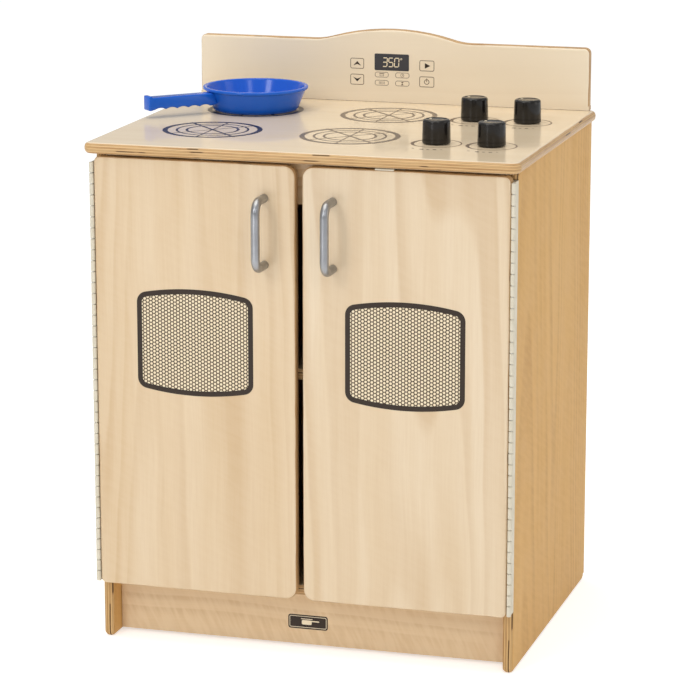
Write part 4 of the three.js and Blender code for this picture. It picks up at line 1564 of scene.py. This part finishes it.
# ---- Worktop and backsplash prints -------------------------------------------------------------
@dataclass
class WorktopPrint:
    """The burner rings and dial rings printed on the worktop; sizes are in millimetres."""

    shop: Finishes
    rings: tuple[tuple[float, float], ...] = ((55.0, 6.0), (41.3, 2.7), (29.8, 2.9))
    spokes: tuple[tuple[float, float], ...] = ((-47.0, 3.2), (45.5, 1.5), (88.5, 1.7))
    dial: float = 28.4
    burners: tuple[tuple[str, float, float, str], ...] = (
        ("front_left", -142.0, -57.5, "ink_navy"),
        ("rear_left", -142.0, 104.0, "ink_navy"),
        ("front_right", 24.0, -57.8, "ink_tan"),
        ("rear_right", 24.5, 104.8, "ink_tan"),
    )

    def build_burners(self, level: float) -> None:
        """Prints each burner: three rings and three crossing spokes."""
        for name, x, y, ink in self.burners:
            sheet = InkSheet(Facing.UP, level)
            for i, (radius, stroke) in enumerate(self.rings):
                sheet.ring((x, y), radius, stroke, 0.004 * i)
            for i, (angle, width) in enumerate(self.spokes):
                reach = self.rings[0][0] + self.rings[0][1] / 2 + (1.6 if i == 0 else 0.4)
                turn = math.radians(angle)
                run = (reach * math.cos(turn), reach * math.sin(turn))
                sheet.stroke((x - run[0], y - run[1]), (x + run[0], y + run[1]), width, 0.02 + 0.01 * i)
            placed(sheet.finish(f"burner_print_{name}"), "cabinet", ink, self.shop[ink])

    def build_dials(self, level: float) -> None:
        """Prints each dial: a ring that swells to the left, and small ticks before it."""
        sheet = InkSheet(Facing.UP, level)
        ticks = InkSheet(Facing.UP, level)
        for name in KNOBS:
            low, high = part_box(f"knob_{name}")
            x, y = (low.x + high.x) / 2 / MM, (low.y + high.y) / 2 / MM
            outer = circle((x, y), self.dial + 0.8, 120)
            inner = []
            for i in range(120):
                turn = 2 * math.pi * i / 120
                swell = max(0.0, math.cos(turn - math.radians(178))) ** 3
                near = self.dial - 0.8 - 3.0 * swell
                inner.append((x + near * math.cos(turn), y + near * math.sin(turn)))
            sheet.band(outer, inner)
            for angle, reach, width in (
                (-113, 2.6, 1.6), (-98, 4.4, 3.4), (-88, 3.0, 2.4), (-78, 3.8, 3.0),
                (-68, 2.0, 1.4),
            ):
                turn = math.radians(angle)
                away = self.dial + 14.5
                middle = Vector((x + away * math.cos(turn), y + away * math.sin(turn)))
                side = Vector((-math.sin(turn), math.cos(turn))) * reach / 2
                ticks.stroke(tuple(middle - side), tuple(middle + side), width)
        placed(sheet.finish("dial_rings"), "cabinet", "ink_tan", self.shop["ink_line"])
        placed(ticks.finish("dial_ticks"), "cabinet", "ink_brown", self.shop["ink_brown"])

    def build(self) -> None:
        """Prints the worktop."""
        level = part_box("worktop")[1].z / MM
        self.build_burners(level)
        self.build_dials(level)


@dataclass
class ControlPanel:
    """The printed control panel on the backsplash, drawn in (x, z) millimetres."""

    shop: Finishes
    display: tuple[float, float, float, float] = (-21.8, 630.0, 21.8, 650.5)
    digits: str = "350"
    segments: dict[str, str] = field(default_factory=lambda: {"3": "abcdg", "5": "acdfg", "0": "abcdef"})

    def _digit(
        self, sheet: InkSheet, x: float, z: float, lit: str, wide: float = 5.4, tall: float = 10.6,
    ) -> None:
        """Draws one seven-segment digit from its lower left corner."""
        lean, pen = 0.7, 1.15
        half = tall / 2

        def at(u: float, v: float) -> Point2:
            """A corner of the digit, leaning a little to the right."""
            return (x + u * wide + lean * v / tall, z + v)

        ends = {
            "a": (at(0, tall), at(1, tall)),
            "b": (at(1, tall), at(1, half)),
            "c": (at(1, half), at(1, 0)),
            "d": (at(0, 0), at(1, 0)),
            "e": (at(0, 0), at(0, half)),
            "f": (at(0, half), at(0, tall)),
            "g": (at(0, half), at(1, half)),
        }
        for i, name in enumerate(lit):
            start, end = (Vector(p) for p in ends[name])
            run = (end - start).normalized() * 0.45
            sheet.stroke(tuple(start + run), tuple(end - run), pen, 0.06 + 0.004 * i)

    def build(self) -> None:
        """Prints the display, its digits and every button."""
        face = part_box("backsplash")[0].y / MM
        dark, light, line = (InkSheet(Facing.FRONT, face) for _ in range(3))
        x0, z0, x1, z1 = self.display
        dark.plate(rounded_box((x0, z0), (x1, z1), 1.6))
        for i, digit in enumerate(self.digits):
            self._digit(light, -11.6 + 7.4 * i, z0 + 4.9, self.segments[digit])
        light.band(circle((12.0, z0 + 14.6), 1.2, 24), circle((12.0, z0 + 14.6), 0.6, 24), 0.06)

        buttons = [
            (-52.6, 631.0, -35.2, 644.0), (-52.6, 611.2, -35.2, 624.4), (35.0, 631.0, 53.7, 644.2),
            (35.0, 611.4, 53.7, 624.5),
        ]
        for bx0, bz0, bx1, bz1 in buttons:
            line.outline(rounded_box((bx0, bz0), (bx1, bz1), 2.2), 0.75)
        pills = [
            (-21.3, 621.4, -4.0, 628.0), (4.6, 621.4, 22.3, 628.0), (-21.3, 611.4, -4.0, 618.0),
            (4.6, 611.4, 22.3, 618.0),
        ]
        for px0, pz0, px1, pz1 in pills:
            line.outline(rounded_box((px0, pz0), (px1, pz1), 2.8), 0.55)

        marks = InkSheet(Facing.FRONT, face)
        for z, up in ((637.5, 1), (617.8, -1)):
            points = [(-5.2, -2.9), (0.0, -0.8), (5.2, -2.9), (0.0, 2.7)]
            shape = [(-43.9 + x, z + up * y) for x, y in points]
            marks.plate(shape if up > 0 else shape[::-1])
        marks.plate([(41.8, 634.2), (48.6, 637.6), (41.8, 641.0)])
        line.band(circle((44.3, 617.9), 3.3, 40), circle((44.3, 617.9), 2.5, 40))
        line.stroke((44.3, 617.8), (44.3, 622.4), 0.8, 0.01)
        self._pictograms(line)
        placed(dark.finish("display_print"), "cabinet", "ink_brown", self.shop["ink_grey"])
        placed(light.finish("display_digits"), "cabinet", "ink_cream", self.shop["ink_cream"])
        placed(line.finish("button_outlines"), "cabinet", "ink_tan", self.shop["ink_line"])
        placed(marks.finish("button_arrows"), "cabinet", "ink_brown", self.shop["ink_brown"])

    def _pictograms(self, line: InkSheet) -> None:
        """Draws a pot, a clock, a grill and a sand timer in the four small buttons."""
        pot = (-12.6, 624.7)
        line.outline(rounded_box((pot[0] - 2.6, pot[1] - 1.7), (pot[0] + 2.6, pot[1] + 1.1), 0.7, 4), 0.45)
        line.stroke((pot[0] - 3.4, pot[1] + 1.6), (pot[0] + 3.4, pot[1] + 1.6), 0.5)
        clock = (13.4, 624.7)
        line.band(circle(clock, 2.3, 32), circle(clock, 1.85, 32))
        line.stroke(clock, (clock[0], clock[1] + 1.5), 0.45, 0.01)
        line.stroke(clock, (clock[0] + 1.1, clock[1] - 0.3), 0.45, 0.02)
        for i in range(5):
            x = -15.8 + 1.6 * i
            line.stroke((x, 613.0), (x, 616.4), 0.5)
        sand = (13.4, 614.7)
        for flip in (1, -1):
            shape = [(-1.7, 2.0), (0.0, 0.0), (1.7, 2.0)]
            line.plate([(sand[0] + flip * x, sand[1] + flip * y) for x, y in shape])


def build_badge(shop: Finishes) -> None:
    """Prints a plain dark badge with a saucepan on the toe kick."""
    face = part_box("toe_kick")[0].y / MM
    dark, light = InkSheet(Facing.FRONT, face), InkSheet(Facing.FRONT, face)
    centre = Vector((-3.5, 31.0))
    dark.plate(rounded_box((centre.x - 24, centre.y - 8.5), (centre.x + 24, centre.y + 8.5), 3.0))
    light.outline(rounded_box((centre.x - 22.4, centre.y - 6.9), (centre.x + 22.4, centre.y + 6.9), 1.8), 0.6)
    light.plate(rounded_box((centre.x - 7.5, centre.y - 3.2), (centre.x + 4.5, centre.y + 2.2), 1.4), 0.06)
    light.stroke((centre.x + 4.0, centre.y + 1.3), (centre.x + 13.5, centre.y + 1.3), 1.3, 0.05)
    light.stroke((centre.x - 8.4, centre.y + 3.6), (centre.x + 5.4, centre.y + 3.6), 0.8, 0.05)
    light.draft.verts = [(x, y - 0.06 if y < face else y, z) for x, y, z in light.draft.verts]
    placed(dark.finish("toe_kick_badge"), "cabinet", "ink_brown", shop["ink_brown"])
    placed(light.finish("toe_kick_badge_lines"), "cabinet", "ink_cream", shop["ink_cream"])


# ---- Knobs -------------------------------------------------------------------------------------
KNOBS = ("front_left", "front_right", "rear_left", "rear_right")


@dataclass
class Knob:
    """A turning knob with its bolt, washer and lock nut; sizes are in millimetres."""

    name: str
    shop: Finishes
    radius: float = 16.2
    top: float = 15.6
    tall: float = 27.0
    round: float = 2.8
    # turn of the painted highlight, a cream dot on the knob's top, the same on every knob
    highlight_dot_turn: float = 148.0

    def _cap(self) -> list[Point2]:
        """The knob's outline: chamfered foot, tapered wall, round shoulder and dished top."""
        soft = self.round
        points = [(0.0, 0.0), (self.radius - 1.1, 0.0), (self.radius - 0.3, 0.25), (self.radius, 1.0)]
        points.append((self.top + 0.02, self.tall - soft - 0.3))
        for i in range(9):
            turn = math.pi / 2 * i / 8
            points.append((self.top - soft + soft * math.cos(turn), self.tall - soft + soft * math.sin(turn)))
        points += [(self.top - soft - 0.5, self.tall), (self.top - soft - 0.8, self.tall - 0.12)]
        points += [
            (self.top - soft - 1.0, self.tall - 0.45), (self.top - soft - 1.6, self.tall - 0.55),
            (0.0, self.tall - 0.55),
        ]
        return points

    def build(self) -> None:
        """Makes the knob, its painted highlight dot and what holds it."""
        low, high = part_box(f"knob_{self.name}")
        x, y, z = (low.x + high.x) / 2, (low.y + high.y) / 2, low.z
        body = f"{self.name}_knob"
        draft = MeshDraft()
        turned(draft, self._cap(), 96)
        cap = draft.finish(f"knob_{self.name}_cap", (x, y, z), smooth_angle=32.0)
        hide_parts(f"knob_{self.name}")
        placed(cap, body, "knob_plastic", self.shop["black_gloss"])

        # Painted highlight: a small cream dot on the dished top, set where the top's shine falls, not a printed
        # pointer.
        highlight_dot = MeshDraft()
        turn = math.radians(self.highlight_dot_turn)
        spot = (9.6 * math.cos(turn), 9.6 * math.sin(turn), self.tall - 0.9)
        turned(highlight_dot, [(0, 0), (1.7, 0), (1.7, 0.45), (0, 0.45)], 28, spot)
        mark = softened(highlight_dot.finish(f"knob_{self.name}_pointer", (x, y, z), smooth_angle=None), 0.15, 2)
        placed(mark, body, "ink_cream", self.shop["ink_cream"])

        hardware = MeshDraft()
        washer_low, washer_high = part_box(f"knob_washer_{self.name}")
        nut_low, nut_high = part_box(f"knob_lock_nut_{self.name}")
        bolt_low, bolt_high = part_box(f"knob_bolt_{self.name}")
        w0, w1 = washer_low.z / MM, washer_high.z / MM
        ring = [(0.0, w0), (8.7, w0), (9.0, w0 + 0.3), (9.0, w1 - 0.3), (8.7, w1), (0.0, w1)]
        turned(hardware, ring, 48)
        n0, n1 = nut_low.z / MM, nut_high.z / MM
        hexagon = [
            (0.0, n0), (3.7, n0), (4.4, n0 + 0.5), (4.6, n0 + 1.8), (5.0, n0 + 2.0),
            (5.8, n0 + 2.4), (5.8, n1 - 0.4), (5.2, n1), (0.0, n1),
        ]
        turned(hardware, hexagon, 6)
        b0, b1 = bolt_low.z / MM, bolt_high.z / MM
        turned(hardware, [(0.0, b0), (2.3, b0), (3.0, b0 + 0.8), (3.0, b1 - 0.3), (2.7, b1), (0.0, b1)], 24)
        made = hardware.finish(f"knob_{self.name}_hardware", (x, y, 0.0), smooth_angle=32.0)
        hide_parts(f"knob_bolt_{self.name}", f"knob_washer_{self.name}", f"knob_lock_nut_{self.name}")
        placed(made, body, "zinc_steel", self.shop["zinc_plate"])


# ---- Frying pan --------------------------------------------------------------------------------
@dataclass
class FryingPan:
    """The moulded toy frying pan; sizes are in millimetres."""

    shop: Finishes
    centre: Point2 = (-142.0, 104.0)
    turn: float = 225.0
    grip_start: float = 63.5
    grip_end: float = 137.0
    end: float = 145.0
    width: float = 16.0
    waves: int = 5

    def _bowl(self) -> list[Point2]:
        """The bowl's outline, from the middle of its foot round the rim to the middle inside."""
        outside = [
            (0, 0.7), (43.5, 0.7), (45.0, 0.15), (46.0, 0), (47.6, 0), (49.4, 0.5), (50.9, 1.7),
            (52.0, 3.6), (52.9, 6.0),
        ]
        wall = [(52.9 + (60.1 - 52.9) * t, 6.0 + 17.6 * t) for t in (0.25, 0.5, 0.75, 1.0)]
        rim = [
            (60.3, 24.4), (60.9, 24.95), (62.0, 25.2), (62.9, 25.4), (63.4, 25.9), (63.5, 26.6),
            (63.5, 27.7),
        ]
        lip = [
            (63.2, 28.5), (62.5, 28.95), (61.4, 29.0), (59.9, 28.95), (59.0, 28.7), (58.5, 28.2),
            (58.1, 27.0),
        ]
        inside = [(58.1 + (50.9 - 58.1) * t, 27.0 + (7.2 - 27.0) * t) for t in (0.33, 0.66, 1.0)]
        floor = [(50.2, 5.4), (48.9, 3.9), (46.9, 2.9), (44.4, 2.45), (0, 2.4)]
        return outside + wall + rim + lip + inside + floor

    def _grip(self) -> list[Point2]:
        """The handle's side outline in (radius, height): flat top, five finger waves, end flange."""
        top, under, wave = 24.6, 9.8, 1.9
        points = [(59.4, top), (54.6, under + 1.4)]
        steps = 60
        for i in range(steps + 1):
            t = i / steps
            rise = wave * abs(math.sin(t * self.waves * math.pi)) ** 0.9
            points.append((self.grip_start + (self.grip_end - self.grip_start) * t, under + rise))
        points += [(self.end - 5.8, under - 0.2), (self.end - 4.4, under - 0.9), (self.end, under - 0.9)]
        points += [(self.end, top + 1.6), (self.end - 4.0, top + 1.6), (self.end - 5.4, top)]
        return points

    def build(self) -> None:
        """Moulds the bowl and the handle as one piece."""
        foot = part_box("frying_pan")[0].z
        draft = MeshDraft()
        turned(draft, self._bowl(), 144)
        bowl = draft.finish(
            "pan_moulding", (self.centre[0] * MM, self.centre[1] * MM, foot), smooth_angle=45.0,
        )
        grip = MeshDraft()
        outline = self._grip()
        count = len(outline)
        half = self.width / 2
        verts = [(r, side * half, z) for side in (-1, 1) for r, z in outline]
        faces = [list(range(count)), list(range(2 * count - 1, count - 1, -1))]
        faces += [[i, i + count, (i + 1) % count + count, (i + 1) % count] for i in range(count)]
        grip.add(verts, faces)
        handle = grip.finish("pan_grip", smooth_angle=30.0)
        softened(handle, 1.6, 4, 55.0)
        handle.data.transform(
            Matrix.Translation((self.centre[0] * MM, self.centre[1] * MM, foot))
            @ Matrix.Rotation(math.radians(self.turn), 4, "Z")
        )
        whole = bmesh.new()
        for part in (bowl, handle):
            whole.from_mesh(part.data)
        whole.to_mesh(bowl.data)
        whole.free()
        bpy.data.objects.remove(handle)
        shade(bowl.data, 45.0)
        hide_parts("frying_pan")
        placed(bowl, "pan", "pan_plastic", self.shop["blue_gloss"])


# ---- Studio ------------------------------------------------------------------------------------
@dataclass
class Studio:
    """Pale floor, soft lights and the camera."""

    eye: tuple[float, float, float] = (1.01987, -3.44191, 1.16067)
    yaw: float = 16.398
    pitch: float = 13.097
    focal: float = 160.37

    def build_floor(self) -> None:
        """Lays a wide pale floor."""
        mesh = bpy.data.meshes.new("studio_floor")
        far = 60.0
        mesh.from_pydata([(-far, -far, 0), (far, -far, 0), (far, far, 0), (-far, far, 0)], [], [[0, 1, 2, 3]])
        floor = bpy.data.objects.new("studio_floor", mesh)
        bpy.context.scene.collection.objects.link(floor)
        material, w, surface, where = start_material("studio_paper")
        shade_of = w.noise(where, 3.0, 2.0)
        w.feed(surface.inputs["Base Color"], w.blend(shade_of, (0.82, 0.82, 0.82), (0.84, 0.84, 0.84)))
        set_plain(surface, roughness=0.9)
        surface.inputs["Emission Color"].default_value = (1.0, 1.0, 1.0, 1.0)
        seen = w.node("ShaderNodeLightPath").outputs["Is Camera Ray"]
        w.feed(surface.inputs["Emission Strength"], w.maths("MULTIPLY_ADD", seen, 0.22, 0.32))
        surface.inputs["Specular IOR Level"].default_value = 0.1
        floor.data.materials.append(material)

    def add_light(
        self, name: str, place: Sequence[float], size: Point2, power: float,
        tint: Colour = (1, 1, 1),
    ) -> None:
        """Hangs one soft light, aimed at the stove's middle."""
        light = bpy.data.lights.new(name, "AREA")
        light.shape = "RECTANGLE"
        light.size, light.size_y = size
        light.energy = power
        light.color = tint
        lamp = bpy.data.objects.new(name, light)
        lamp.location = place
        lamp.visible_camera = False
        lamp.rotation_mode = "QUATERNION"
        lamp.rotation_quaternion = (Vector((0, 0, 0.35)) - Vector(place)).to_track_quat("-Z", "Y")
        bpy.context.scene.collection.objects.link(lamp)

    def build_world(self, scene: bpy.types.Scene) -> None:
        """Surrounds the studio with white that is plain behind the stove and softer in its light."""
        world = bpy.data.worlds.new("studio_air")
        world.use_nodes = True
        w = ShaderWriter(world.node_tree)
        w.tree.nodes.clear()
        seen = w.node("ShaderNodeLightPath").outputs["Is Camera Ray"]
        way = w.node("ShaderNodeSeparateXYZ", {0: w.node("ShaderNodeTexCoord").outputs["Generated"]})
        sky = w.between(way.outputs[2], -0.1, 0.8, 0.4, 0.6)
        strength = w.maths("MAXIMUM", seen, sky)
        air = w.node("ShaderNodeBackground", {"Color": (1.0, 1.0, 1.0, 1.0), "Strength": strength})
        w.node("ShaderNodeOutputWorld", {"Surface": air.outputs[0]})
        scene.world = world

    def build(self) -> None:
        """Sets up the floor, the lights and the camera."""
        scene = bpy.context.scene
        self.build_floor()
        self.build_world(scene)
        scene.view_settings.view_transform = "Standard"
        self.add_light("key", (-1.04, -2.79, 2.15), (0.7, 1.3), 20.3)
        self.add_light("fill", (1.54, -2.42, 2.15), (0.5, 1.3), 8.0)
        self.add_light("low_strip", (-0.52, -1.75, 0.24), (0.16, 0.5), 1.2)
        self.add_light("top", (-0.3, -0.3, 2.9), (2.4, 2.0), 34.0, (1.0, 0.95, 0.84))
        self.add_light("side", (3.0, 0.2, 1.2), (1.2, 1.8), 8.0, (1.0, 0.96, 0.88))
        camera = bpy.data.cameras.new("photographer")
        camera.lens = self.focal
        camera.sensor_width = 36.0
        eye = bpy.data.objects.new("photographer", camera)
        a, e = math.radians(self.yaw), math.radians(self.pitch)
        ahead = Vector((-math.sin(a) * math.cos(e), math.cos(a) * math.cos(e), -math.sin(e)))
        eye.location = self.eye
        eye.rotation_mode = "QUATERNION"
        eye.rotation_quaternion = ahead.to_track_quat("-Z", "Y")
        scene.collection.objects.link(eye)
        scene.camera = eye


def main() -> None:
    """Builds the stove's looks and the studio."""
    logging.basicConfig(level=logging.INFO, format="%(name)s: %(message)s")
    Studio().build()
    shop = build_finishes()
    screws = ScrewSet(shop, repeat_tree())
    net, row = net_tree(), row_tree()
    Cabinet(shop).build()
    screws.build()
    for side in ("left", "right"):
        Door(side, shop, net).build()
        Hinge(side, shop, row, screws).build()
    build_catches(shop)
    WorktopPrint(shop).build()
    ControlPanel(shop).build()
    build_badge(shop)
    for name in KNOBS:
        Knob(name, shop).build()
    FryingPan(shop).build()


if __name__ == "__main__":
    main()
